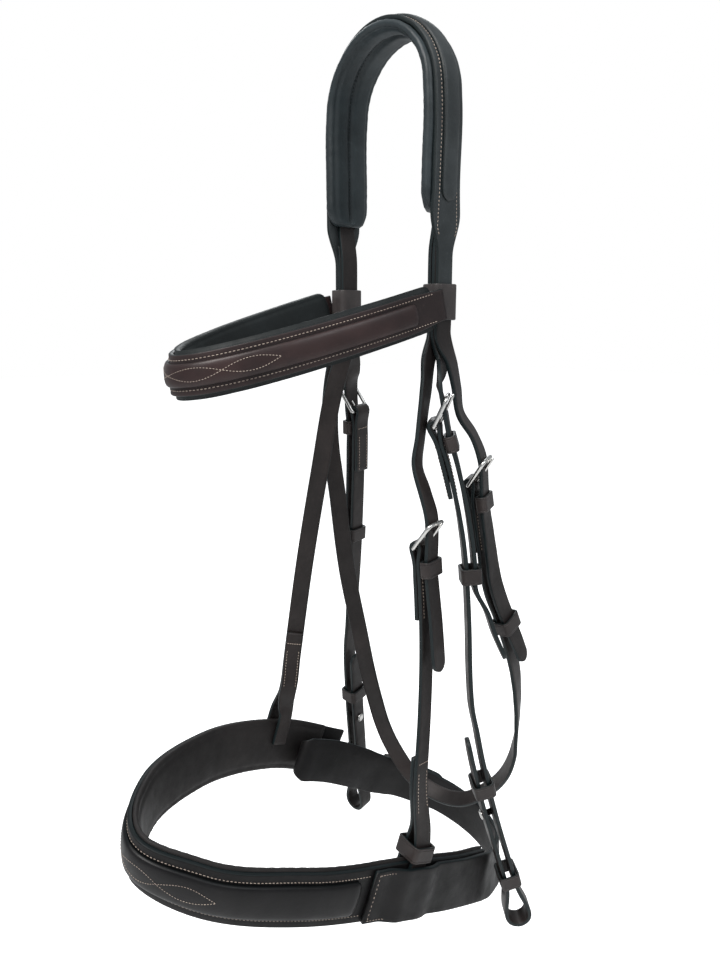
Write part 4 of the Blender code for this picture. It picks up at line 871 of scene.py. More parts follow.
def keeper_piece(name: str, route: Route, mark: float, inner: float, outer: float, width: float,
                 height: float = BUCKLE.keeper_height, clearance: float = BUCKLE.keeper_clearance,
                 wall: float = BUCKLE.keeper_wall, corner: float = BUCKLE.keeper_corner
                 ) -> bpy.types.Object:
    """A leather loop round a stack that reaches from inner to outer beside the route.

    The loop is a leather band with eased edges, carried round a rounded rectangle.
    """
    frame = route.frame(mark)
    middle = frame.at(0.0, (inner + outer) / 2)
    half_out = (outer - inner) / 2 + clearance + wall / 2
    half_side = width / 2 + clearance + wall / 2
    bend = corner + wall / 2
    path: list[Vector] = []
    for out_sign, side_sign, start_deg in ((1, 1, 0), (1, -1, 90), (-1, -1, 180), (-1, 1, 270)):
        centre = middle + frame.outward * out_sign * (half_out - bend)
        centre += frame.across * side_sign * (half_side - bend)
        for step in range(7):
            angle = math.radians(start_deg + 15 * step)
            path.append(centre + (frame.across * math.cos(angle) + frame.outward * math.sin(angle)) * bend)
    full = [path[0]]
    for first, second in zip(path, path[1:] + path[:1]):
        pieces = max(1, round((second - first).length / 0.0012))
        full += [first.lerp(second, step / pieces) for step in range(1, pieces + 1)]
    full.pop()
    rings: list[Ring] = []
    run = 0.0
    for index, point in enumerate(full):
        after = full[(index + 1) % len(full)]
        along = (after - full[index - 1]).normalized()
        away = along.cross(frame.along).normalized()
        rings.append(Ring(Frame(point, along, away, along.cross(away)), height, wall, run))
        run += (after - point).length
    return Sweep(name).make(rings, strap_section, closed=True)


class Slot(Enum):
    """The record's material slots."""

    BROWN = "brown_leather"
    RED = "red_brown_leather"
    LINING = "black_lining"
    STEEL = "steel"


@dataclass(frozen=True)
class LeatherFinish:
    """How one kind of leather looks."""

    name: str
    base: tuple[float, float, float]
    lit: tuple[float, float, float]
    edge: tuple[float, float, float]
    roughness: tuple[float, float]
    grain: float
    coat: float
    crease: float = 0.0
    creased_at: float = 0.43
    wear: float = 0.25
    specular: float = 0.34


STRAP_BROWN = LeatherFinish("strap_leather", (0.0131, 0.0102, 0.0097), (0.0272, 0.0209, 0.0199),
                            (0.0062, 0.0122, 0.0136), (0.38, 0.58), 0.28, 0.06, 0.6)
BROW_BROWN = LeatherFinish("brow_leather_finish", (0.0165, 0.0097, 0.0097), (0.0330, 0.0196, 0.0193),
                           (0.0055, 0.0090, 0.0096), (0.38, 0.56), 0.26, 0.05)
# Painted light: the crown's dark leather is made lighter and bluer than the other straps, standing for the cool
# light that falls on the crown's top.
CROWN_BLACK_WITH_PAINTED_LIGHT = LeatherFinish("crown_leather_painted_light", (0.0219, 0.0266, 0.0284), (0.0438, 0.0508, 0.0534),
                            (0.0060, 0.0110, 0.0120), (0.40, 0.60), 0.30, 0.04)
RAISED_RED = LeatherFinish("raised_red_leather", (0.0201, 0.0107, 0.0105), (0.0390, 0.0207, 0.0198),
                           (0.0050, 0.0045, 0.0045), (0.33, 0.48), 0.20, 0.09)
KEEPER_BROWN = LeatherFinish("keeper_leather", (0.0240, 0.0189, 0.0182), (0.0468, 0.0370, 0.0351),
                             (0.0065, 0.0095, 0.0098), (0.36, 0.52), 0.26, 0.06, 0.9, 0.36)
LOOP_BROWN = LeatherFinish("loop_leather", (0.0375, 0.0322, 0.0318), (0.0690, 0.0600, 0.0585),
                           (0.0065, 0.0095, 0.0098), (0.36, 0.52), 0.26, 0.06)
NOSE_LEATHER = LeatherFinish("nose_leather_finish", (0.0046, 0.0044, 0.0047), (0.0104, 0.0096, 0.0101),
                             (0.0045, 0.0085, 0.0095), (0.40, 0.58), 0.28, 0.02, specular=0.22)
NOSE_RAISED = LeatherFinish("nose_raised_finish", (0.0040, 0.0038, 0.0044), (0.0092, 0.0083, 0.0092),
                            (0.0030, 0.0040, 0.0045), (0.32, 0.46), 0.20, 0.05, specular=0.22)
NOSE_LINING = LeatherFinish("nose_lining_leather", (0.0081, 0.0066, 0.0065), (0.0166, 0.0136, 0.0132),
                            (0.0035, 0.0050, 0.0055), (0.50, 0.68), 0.36, 0.02)
# Painted light: a lighter, bluer copy of the black lining for the crown's padding, standing for the light and
# highlights on its rolls.
CROWN_LINING_PAINTED_LIGHT = LeatherFinish("crown_lining_painted_light", (0.0141, 0.0201, 0.0228), (0.0304, 0.0408, 0.0456),
                             (0.0060, 0.0110, 0.0120), (0.36, 0.54), 0.34, 0.10)
LININGS = ("lining_leather", "nose_lining_leather", "crown_lining_painted_light")
LINING_BLACK = LeatherFinish("lining_leather", (0.0040, 0.0065, 0.0070), (0.0090, 0.0128, 0.0137),
                             (0.0030, 0.0050, 0.0055), (0.50, 0.70), 0.42, 0.02)


class Paint:
    """Procedural materials, each made once."""

    def __init__(self) -> None:
        self.made: dict[str, bpy.types.Material] = {}

    def leather(self, finish: LeatherFinish) -> bpy.types.Material:
        """Grained leather with painted edges, colour variation, rubbed places and creases.

        Args:
            finish: The leather's colours and surface.

        Returns:
            The material.
        """
        if finish.name in self.made:
            return self.made[finish.name]
        material, tree, shader = self._blank(finish.name)
        coordinates = tree.nodes.new("ShaderNodeTexCoord")
        place = coordinates.outputs["Object"]
        cloud = self._noise(tree, place, 26.0, 4.0, 0.55)
        fine = self._noise(tree, place, 420.0, 3.0, 0.6)
        colour = self._mix(tree, self._ramp(tree, cloud, 0.34, 0.72), finish.base, finish.lit)
        rubbed = tuple(min(part * 2.1 + 0.004, 1.0) for part in finish.lit)
        worn = self._math(tree, "MULTIPLY", self._ramp(tree, fine, 0.58, 0.80), finish.wear)
        colour = self._mix(tree, worn, colour, rubbed)
        edge = tree.nodes.new("ShaderNodeAttribute")
        edge.attribute_name = "edge"
        painted = self._ramp(tree, edge.outputs["Fac"], 0.35, 0.75)
        colour = self._mix(tree, painted, colour, finish.edge)
        tree.links.new(colour, shader.inputs["Base Color"])
        low, high = finish.roughness
        rough = self._mapped(tree, self._noise(tree, place, 90.0, 5.0, 0.6), low, high)
        tree.links.new(rough, shader.inputs["Roughness"])
        shader.inputs["Coat Weight"].default_value = finish.coat
        shader.inputs["Coat Roughness"].default_value = 0.28
        shader.inputs["Specular IOR Level"].default_value = finish.specular
        cells = tree.nodes.new("ShaderNodeTexVoronoi")
        cells.feature = "DISTANCE_TO_EDGE"
        cells.inputs["Scale"].default_value = 900.0
        tree.links.new(place, cells.inputs["Vector"])
        grain = self._ramp(tree, cells.outputs["Distance"], 0.0, 0.22)
        normal = self._bump(tree, grain, finish.grain * 0.5, 0.00012, None)
        normal = self._bump(tree, fine, finish.grain, 0.00025, normal)
        normal = self._bump(tree, cloud, 0.25, 0.0012, normal)
        if finish.crease:
            normal = self._bump(tree, self._crease(tree, finish.creased_at), finish.crease, 0.0005, normal)
        tree.links.new(normal, shader.inputs["Normal"])
        self.made[finish.name] = material
        return material

    def thread(self) -> bpy.types.Material:
        """Waxed cream thread that is soiled here and there."""
        if "thread" in self.made:
            return self.made["thread"]
        material, tree, shader = self._blank("thread")
        place = tree.nodes.new("ShaderNodeTexCoord").outputs["Object"]
        soil = self._ramp(tree, self._noise(tree, place, 60.0, 3.0, 0.6), 0.35, 0.75)
        colour = self._mix(tree, soil, (0.50, 0.41, 0.34), (0.27, 0.20, 0.17))
        tree.links.new(colour, shader.inputs["Base Color"])
        shader.inputs["Roughness"].default_value = 0.68
        shader.inputs["Sheen Weight"].default_value = 0.2
        ply = self._noise(tree, place, 2400.0, 1.0, 0.5)
        tree.links.new(self._bump(tree, ply, 0.4, 0.0001, None), shader.inputs["Normal"])
        self.made["thread"] = material
        return material

    def steel(self) -> bpy.types.Material:
        """Polished stainless steel with fine rubbing marks."""
        if "steel" in self.made:
            return self.made["steel"]
        material, tree, shader = self._blank("polished_steel")
        place = tree.nodes.new("ShaderNodeTexCoord").outputs["Object"]
        cloud = self._noise(tree, place, 140.0, 4.0, 0.6)
        colour = self._mix(tree, cloud, (0.60, 0.59, 0.57), (0.78, 0.77, 0.75))
        tree.links.new(colour, shader.inputs["Base Color"])
        shader.inputs["Metallic"].default_value = 1.0
        rough = self._mapped(tree, self._noise(tree, place, 500.0, 4.0, 0.6), 0.12, 0.30)
        tree.links.new(rough, shader.inputs["Roughness"])
        scratches = self._noise(tree, place, 1500.0, 2.0, 0.5)
        tree.links.new(self._bump(tree, scratches, 0.12, 0.00005, None), shader.inputs["Normal"])
        self.made["steel"] = material
        return material

    @staticmethod
    def _blank(name: str) -> tuple[bpy.types.Material, bpy.types.NodeTree, bpy.types.Node]:
        material = bpy.data.materials.new(name)
        material.use_nodes = True
        tree = material.node_tree
        return material, tree, tree.nodes["Principled BSDF"]

    @staticmethod
    def _noise(tree: bpy.types.NodeTree, place: bpy.types.NodeSocket, scale: float, detail: float,
               roughness: float) -> bpy.types.NodeSocket:
        node = tree.nodes.new("ShaderNodeTexNoise")
        node.inputs["Scale"].default_value = scale
        node.inputs["Detail"].default_value = detail
        node.inputs["Roughness"].default_value = roughness
        tree.links.new(place, node.inputs["Vector"])
        return node.outputs["Fac"]

    @staticmethod
    def _ramp(tree: bpy.types.NodeTree, value: bpy.types.NodeSocket, low: float,
              high: float) -> bpy.types.NodeSocket:
        node = tree.nodes.new("ShaderNodeMapRange")
        node.interpolation_type = "SMOOTHSTEP"
        node.inputs["From Min"].default_value = low
        node.inputs["From Max"].default_value = high
        tree.links.new(value, node.inputs["Value"])
        return node.outputs["Result"]

    @staticmethod
    def _mapped(tree: bpy.types.NodeTree, value: bpy.types.NodeSocket, low: float,
                high: float) -> bpy.types.NodeSocket:
        node = tree.nodes.new("ShaderNodeMapRange")
        node.inputs["From Min"].default_value = 0.3
        node.inputs["From Max"].default_value = 0.7
        node.inputs["To Min"].default_value = low
        node.inputs["To Max"].default_value = high
        tree.links.new(value, node.inputs["Value"])
        return node.outputs["Result"]

    @staticmethod
    def _math(tree: bpy.types.NodeTree, operation: str, value: bpy.types.NodeSocket,
              other: float) -> bpy.types.NodeSocket:
        node = tree.nodes.new("ShaderNodeMath")
        node.operation = operation
        tree.links.new(value, node.inputs[0])
        node.inputs[1].default_value = other
        return node.outputs["Value"]

    @staticmethod
    def _mix(tree: bpy.types.NodeTree, share: bpy.types.NodeSocket,
             first: bpy.types.NodeSocket | tuple[float, float, float],
             second: bpy.types.NodeSocket | tuple[float, float, float]) -> bpy.types.NodeSocket:
        node = tree.nodes.new("ShaderNodeMix")
        node.data_type = "RGBA"
        tree.links.new(share, node.inputs["Factor"])
        for value, index in ((first, 6), (second, 7)):
            if isinstance(value, tuple):
                node.inputs[index].default_value = (*value, 1.0)
            else:
                tree.links.new(value, node.inputs[index])
        return node.outputs[2]

    @staticmethod
    def _bump(tree: bpy.types.NodeTree, height: bpy.types.NodeSocket, strength: float, distance: float,
              normal: bpy.types.NodeSocket | None) -> bpy.types.NodeSocket:
        node = tree.nodes.new("ShaderNodeBump")
        node.inputs["Strength"].default_value = strength
        node.inputs["Distance"].default_value = distance
        tree.links.new(height, node.inputs["Height"])
        if normal is not None:
            tree.links.new(normal, node.inputs["Normal"])
        return node.outputs["Normal"]

    def _crease(self, tree: bpy.types.NodeTree, at: float) -> bpy.types.NodeSocket:
        """A tooled line near both edges, from the place across the strap."""
        uv = tree.nodes.new("ShaderNodeUVMap")
        uv.uv_map = "UVMap"
        split = tree.nodes.new("ShaderNodeSeparateXYZ")
        tree.links.new(uv.outputs["UV"], split.inputs["Vector"])
        side = self._math(tree, "SUBTRACT", split.outputs["Y"], 0.5)
        side = self._math(tree, "ABSOLUTE", side, 0.0)
        away = self._math(tree, "ABSOLUTE", self._math(tree, "SUBTRACT", side, at), 0.0)
        return self._ramp(tree, away, 0.0, 0.035)


class Workshop:
    """Finishes pieces and ties them to the frame."""

    def __init__(self) -> None:
        self.paint = Paint()
        self.count = 0

    def _tie(self, piece: bpy.types.Object, material: bpy.types.Material, slot: Slot, body: str,
             nodes: Sequence[str]) -> bpy.types.Object:
        piece.data.materials.clear()
        piece.data.materials.append(material)
        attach(piece, body)
        if nodes:
            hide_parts(*nodes)
        self.count += 1
        LOG.info("%s: %d faces on %s", piece.name, len(piece.data.polygons), body)
        return piece

    def leather(self, piece: bpy.types.Object, finish: LeatherFinish, body: str = STRAPS,
                *nodes: str) -> bpy.types.Object:
        """A leather piece that rides on a body and stands for CAD nodes."""
        slot = Slot.RED if finish is RAISED_RED else Slot.LINING if finish.name in LININGS else Slot.BROWN
        return self._tie(piece, self.paint.leather(finish), slot, body, nodes)

    def steel(self, piece: bpy.types.Object, body: str, *nodes: str) -> bpy.types.Object:
        """A polished metal piece."""
        return self._tie(piece, self.paint.steel(), Slot.STEEL, body, nodes)

    def thread(self, thread: Thread, body: str = STRAPS) -> bpy.types.Object:
        """A piece made of cream stitches."""
        return self._tie(thread.make(), self.paint.thread(), Slot.BROWN, body, ())

    def leather_thread(self, thread: Thread, body: str = STRAPS) -> bpy.types.Object:
        """A piece made of dull dark stitches that match the lining."""
        return self._tie(thread.make(), self.paint.leather(LINING_BLACK), Slot.LINING, body, ())


class Headpiece:
    """Crown leather over grooved padding, with a raised strip and the stack under the browband."""

    def __init__(self, shop: Workshop) -> None:
        self.shop = shop
        self.route = self._route()

    @staticmethod
    def _route() -> Route:
        rows: list[Row] = []
        centre = CROWN.pad_thickness * CROWN.pad_apex + STRAP.gap - HEAD.spread
        legs = (1.0, 0.66, 0.33)
        for share in legs:
            twist = CROWN.twist_deg * (1.0 - blend((share - 0.33) / 0.5))
            place = Vector((HEAD.spread, 0.0, centre - (CROWN.foot_drop + centre) * share))
            rows.append((place, facing(twist, 0)))
        for angle_deg in range(0, 181, 15):
            angle = math.radians(angle_deg)
            out = Vector((math.cos(angle), 0.0, math.sin(angle)))
            twist = math.radians(CROWN.twist_deg) * max(math.cos(angle), 0.0)
            face = Vector((out.x, math.sin(twist) * abs(out.x), out.z))
            rows.append((Vector((0.0, 0.0, centre)) + out * HEAD.spread, face.normalized()))
        for share in reversed(legs):
            rows.append((Vector((-HEAD.spread, 0.0, centre - (CROWN.foot_drop + centre) * share)),
                         facing(180, 0)))
        return Route(rows)

    def foot(self, mark: float) -> float:
        """Distance from the nearer foot."""
        return min(mark, self.route.length - mark)

    def marks(self, start: float) -> list[float]:
        """Lengths from start to the same distance before the far foot."""
        length = self.route.length
        inside = [mark for mark in marks_between(0.0, length, CROWN.step)
                  if start + STRAP.gap < mark < length - start - STRAP.gap]
        return [start] + inside + [length - start]

    def settle(self, mark: float) -> float:
        """How far the noseband strap has moved in to make room for the billets."""
        start = CROWN.foot_drop - CROWN.lip_drop
        end = CROWN.foot_drop - CROWN.taper_drop
        return blend((start - self.foot(mark)) / (start - end))

    def head_out(self, mark: float) -> float:
        """The noseband strap's place: in the padding's channel, then inside the billets."""
        return -(STRAP.gap + STRAP.thickness / 2 + (STRAP.thickness + STRAP.gap) * self.settle(mark))

    def billet_thickness(self, mark: float) -> float:
        """A billet starts skived thin between the headpiece and the noseband strap."""
        return max((STRAP.thickness + STRAP.gap) * self.settle(mark) - STRAP.gap, STRAP.skived / 2)

    def billet_out(self, mark: float) -> float:
        """The billet's middle."""
        return -(STRAP.gap + self.billet_thickness(mark) / 2)

    def leather_width(self, mark: float) -> float:
        """Full width over the padding, strap width in the browband's loops."""
        wide = CROWN.foot_drop - CROWN.lip_drop
        narrow = CROWN.foot_drop - CROWN.taper_drop
        share = blend((self.foot(mark) - narrow) / (wide - narrow))
        return STRAP.width + (CROWN.width - STRAP.width) * share

    def side_marks(self, near: bool, start_drop: float) -> list[float]:
        """Lengths down one leg, from a drop to the foot."""
        start = CROWN.foot_drop - start_drop
        grid = marks_between(0.0, self.route.length, CROWN.step)
        feet = [start] + [foot for foot in reversed(grid) if foot < start - STRAP.gap]
        return [foot if near else self.route.length - foot for foot in feet]

    def shared_drop(self, drop: float) -> float:
        """The drop of the shared length that is nearest to a drop."""
        pitch = self.route.length / (len(marks_between(0.0, self.route.length, CROWN.step)) - 1)
        return CROWN.foot_drop - round((CROWN.foot_drop - drop) / pitch) * pitch

    def add_stack(self, ribbon: Ribbon, near: bool, start_drop: float, out: Amount,
                  thickness: Amount = STRAP.thickness) -> int:
        """Stations of one layer of the stack, downwards; returns how many there are."""
        marks = self.side_marks(near, start_drop)
        ribbon.follow(self.route, marks, out, STRAP.width, thickness, forward=not near)
        return len(marks)

    def billet(self, near: bool, shares: Sequence[Share], clasp: Clasp,
               tail: Sequence[tuple[float, float]]) -> Ribbon:
        """A cheek billet from under the headpiece to its rounded tail."""
        ribbon = Ribbon()
        start = CROWN.lip_drop + (CROWN.taper_drop - CROWN.lip_drop) * CROWN.billet_start
        kept = self.add_stack(ribbon, near, self.shared_drop(start), self.billet_out,
                              self.billet_thickness)
        add_free(ribbon, shares)
        clasp.add_billet(ribbon, tail, CHEEK.runner_place + BUCKLE.keeper_height)
        return ribbon.smoothed(kept).rounded()

    def build(self) -> None:
        """Make the headpiece's leather, padding, raised strip and stitching."""
        length = self.route.length
        start = CROWN.foot_drop - CROWN.end_drop
        rings = rings_on(self.route, start, length - start, self.leather_width, STRAP.thickness)
        piece = Sweep("crown_outer_leather").make(rings, strap_section, STRAP.thickness / 2)
        self.shop.leather(piece, CROWN_BLACK_WITH_PAINTED_LIGHT, STRAPS, "crown_leather")
        self._padding()
        self._raised()
        thread = Thread("crown_stitches")
        end = CROWN.foot_drop - CROWN.stitch_end_drop
        for sign in (-1, 1):
            def side(mark: float, sign: int = sign) -> float:
                full = CROWN.raised_width / 2 + 0.0017
                narrow = self.leather_width(mark) / 2 - 0.0022
                return sign * min(full, narrow)
            thread.row(self.route, end, length - end, side, STRAP.thickness + 0.00012)
        self.shop.thread(thread)

    def _padding(self) -> None:
        length = self.route.length
        lip = CROWN.foot_drop - CROWN.lip_drop
        groove = STRAP.width / 2 + 0.0004
        depth = STRAP.thickness + 2 * STRAP.gap

        def width(mark: float) -> float:
            into = max((self.foot(mark) - lip) / CROWN.pad_taper, 0.0)
            return CROWN.pad_width * (CROWN.pad_end + (1.0 - CROWN.pad_end) * math.sqrt(min(into, 1.0)))

        def thickness(mark: float) -> float:
            rise = max(self.route.frame(mark).outward.z, 0.0)
            return CROWN.pad_thickness * (1.0 - (1.0 - CROWN.pad_apex) * rise)

        def section(wide: float, deep: float) -> list[SectionPoint]:
            points = [point for point in pad_section(wide, deep) if point[1] < 0.0]
            half = wide / 2
            points = [(-half * 0.94, 0.0, 0.0)] + points + [(half * 0.94, 0.0, 0.0)]
            return points + [(groove, 0.0, 0.0), (groove, -depth, 0.0), (0.0, -depth, 0.0),
                             (-groove, -depth, 0.0), (-groove, 0.0, 0.0)]

        def soften(ring: Ring, side: float, edge: float) -> float:
            away = self.foot(ring.run) - lip
            seam = valley(side / ring.width + 0.04, 0.06) * 0.0023 * blend(away / 0.004)
            return pad_relief(ring, side, away, 0.0007) + seam

        rings = rings_on(self.route, lip, length - lip, width, thickness, 0.0018)
        piece = Sweep("crown_soft_padding").make(rings, section, -STRAP.gap, shift=soften)
        self.shop.leather(piece, CROWN_LINING_PAINTED_LIGHT, STRAPS, "crown_padding")
        thread = Thread("crown_seam_stitches")
        thread.row(self.route, lip + 0.006, length - lip - 0.006, -0.04 * CROWN.pad_width,
                   lambda mark: -thickness(mark) - STRAP.gap + 0.0021, -1)
        self.shop.leather_thread(thread)

    def _raised(self) -> None:
        length = self.route.length
        start = CROWN.foot_drop - CROWN.raised_end_drop
        rings = rings_on(self.route, start, length - start,
                         lambda mark: CROWN.raised_width * end_share(mark - start, length - start - mark, 0.007),
                         lambda mark: CROWN.raised_thickness * end_share(mark - start,
                                                                         length - start - mark, 0.009),
                         0.0018)
        piece = Sweep("crown_raised_strip").make(rings, dome_section, STRAP.thickness + STRAP.gap * 0.3)
        self.shop.leather(piece, CROWN_BLACK_WITH_PAINTED_LIGHT, STRAPS, "crown_raised_top")


def end_share(first: float, second: float, reach: float) -> float:
    """A share that rounds a raised strip off at both ends."""
    share = min(max(min(first, second) / reach, 0.0), 1.0)
    return max(math.sqrt(1.0 - (1.0 - share) ** 2), 0.08)


def valley(away: float, reach: float) -> float:
    """A soft trough: 1 in its middle and 0 beyond a few times its reach."""
    return math.exp(-(away / reach) ** 2)


def pad_relief(ring: Ring, side: float, away: float, depth: float) -> float:
    """Small pulls and wrinkles of soft lining, deepest on its full inner side."""
    place = ring.frame.at(side, 0.0)
    slow = noise.noise(place * 42.0)
    wrinkle = noise.noise(Vector((ring.run * 210.0, side * 70.0, 0.3)))
    puckers = math.sin(math.tau * ring.run / 0.0062) * blend(abs(side) / max(ring.width / 2, 0.001) * 4 - 3)
    rim = valley(abs(side) / ring.width - 0.395, 0.035) * 0.9
    return depth * (0.55 * slow + 0.42 * abs(wrinkle) + 0.16 * puckers + rim) * blend(away / 0.01)


def add_free(ribbon: Ribbon, shares: Sequence[Share]) -> None:
    """Stations of a free stretch that hangs downwards."""
    down = Vector((0.0, 0.0, -1.0))
    for place, face in rows_from(shares):
        ribbon.add(place, down.cross(face).normalized())


class Browband:
    """Browband leather, padding, raised front with lace stitching, and the two end loops."""

    def __init__(self, shop: Workshop, head: Headpiece) -> None:
        self.shop = shop
        self.head = head
        spread = HEAD.spread + STRAP.thickness + BROW.loop_clearance + BROW.loop_wall + STRAP.gap
        start = math.asin(BROW.leather_start / BROW.reach)
        rows: list[Row] = []
        for index in range(BROW.rows):
            angle = start + (math.pi - 2 * start) * index / (BROW.rows - 1)
            out = Vector((math.cos(angle) * BROW.reach, -math.sin(angle) * spread, 0.0)).normalized()
            rows.append((Vector((math.cos(angle) * spread, -math.sin(angle) * BROW.reach,
                                 -BROW.drop - math.sin(angle) * BROW.dip)), out))
        self.route = Route(rows)

    def build(self) -> None:
        """Make every piece of the browband."""
        route, length = self.route, self.route.length
        pad = BROW.pad_start - BROW.leather_start
        raised = BROW.raised_start - BROW.leather_start

        def wide(mark: float) -> float:
            share = blend(min(mark, length - mark) / BROW.raised_start)
            return BROW.end_width + (BROW.width - BROW.end_width) * share

        rings = rings_on(route, 0.0, length, wide, STRAP.thickness)
        piece = Sweep("browband_outer_leather").make(rings, strap_section, STRAP.thickness / 2)
        self.shop.leather(piece, BROW_BROWN, BROWBAND, "browband_leather")

        def pad_share(mark: float) -> float:
            return end_share(mark - pad, length - pad - mark, 0.006) * 0.45 + 0.55

        rings = rings_on(route, pad, length - pad, lambda mark: BROW.pad_width * pad_share(mark),
                         lambda mark: BROW.pad_thickness * pad_share(mark), 0.0018)
        piece = Sweep("browband_soft_padding").make(
            rings, pad_section, -STRAP.gap,
            shift=lambda ring, side, edge: pad_relief(ring, side, min(ring.run - pad, length - pad - ring.run),
                                                      0.0006))
        self.shop.leather(piece, LINING_BLACK, BROWBAND, "browband_padding")
        rings = rings_on(route, raised, length - raised,
                         lambda mark: BROW.raised_width * end_share(mark - raised, length - raised - mark, 0.0035),
                         lambda mark: BROW.raised_thickness * end_share(mark - raised,
                                                                        length - raised - mark, 0.005),
                         0.0015)
        piece = Sweep("browband_raised_strip").make(rings, dome_section, STRAP.thickness + STRAP.gap * 0.3)
        self.shop.leather(piece, RAISED_RED, BROWBAND, "browband_raised_front")
        self._stitching()
        for side in ("near", "far"):
            mark = self.head.side_marks(side == "near", BROW.drop)[0]
            stack = -(2 * STRAP.gap + 2 * STRAP.thickness)
            loop = keeper_piece(side + "_browband_loop_leather", self.head.route, mark, stack,
                                STRAP.thickness, STRAP.width, BROW.loop_height, BROW.loop_clearance,
                                BROW.loop_wall, BROW.loop_corner)
            self.shop.leather(loop, LOOP_BROWN, BROWBAND, side + "_browband_loop")

    def _stitching(self) -> None:
        thread = Thread("browband_stitches")
        length = self.route.length
        for sign in (-1, 1):
            thread.row(self.route, 0.008, length - 0.008, sign * (BROW.raised_width / 2 + 0.0016),
                       STRAP.thickness + 0.00012)
        lace(thread, self.route, length / 2, BROW.raised_width, BROW.raised_thickness,
             STRAP.thickness + STRAP.gap * 0.3, BROW.lace_knots, 0.27)
        self.shop.thread(thread, BROWBAND)


def lace(thread: Thread, route: Route, middle: float, width: float, thickness: float, base: float,
         knots: Sequence[float], swing: float) -> None:
    """Two waves of stitches over a raised strip that cross at the knots and close at both ends.

    Args:
        thread: The thread that gets the stitches.
        route: The raised strip's route.
        middle: The length at the pattern's middle.
        width: The raised strip's width.
        thickness: The raised strip's height.
        base: How far the strip's underside lies from the route.
        knots: The ends and crossings, by their distance from the middle.
        swing: How far the waves swing out, as a share of the width.
    """
    thread.scale = STITCH.lace_scale
    for sign in (-1, 1):
        points = []
        for number, (start, end) in enumerate(zip(knots, knots[1:])):
            way = sign if number % 2 else -sign
            for mark in marks_between(start, end, 0.0011)[:-1]:
                side = way * width * swing * math.sin(math.pi * (mark - start) / (end - start))
                frame = route.frame(middle + mark)
                up = base + dome_height(side, width, thickness) + 0.00006
                slope = (dome_height(side + 0.0004, width, thickness)
                         - dome_height(side - 0.0004, width, thickness)) / 0.0008
                points.append((frame.at(side, up), (frame.outward - frame.across * slope).normalized()))
        thread.line(points, STITCH.lace_pitch)
    thread.scale = 1.0


def dome_height(side: float, width: float, thickness: float) -> float:
    """The height of a raised strip's surface at a place across it."""
    share = min(abs(side) / (width / 2), 0.999)
    return thickness * (0.16 + 0.84 * math.sqrt(1.0 - share * share) ** 0.62)


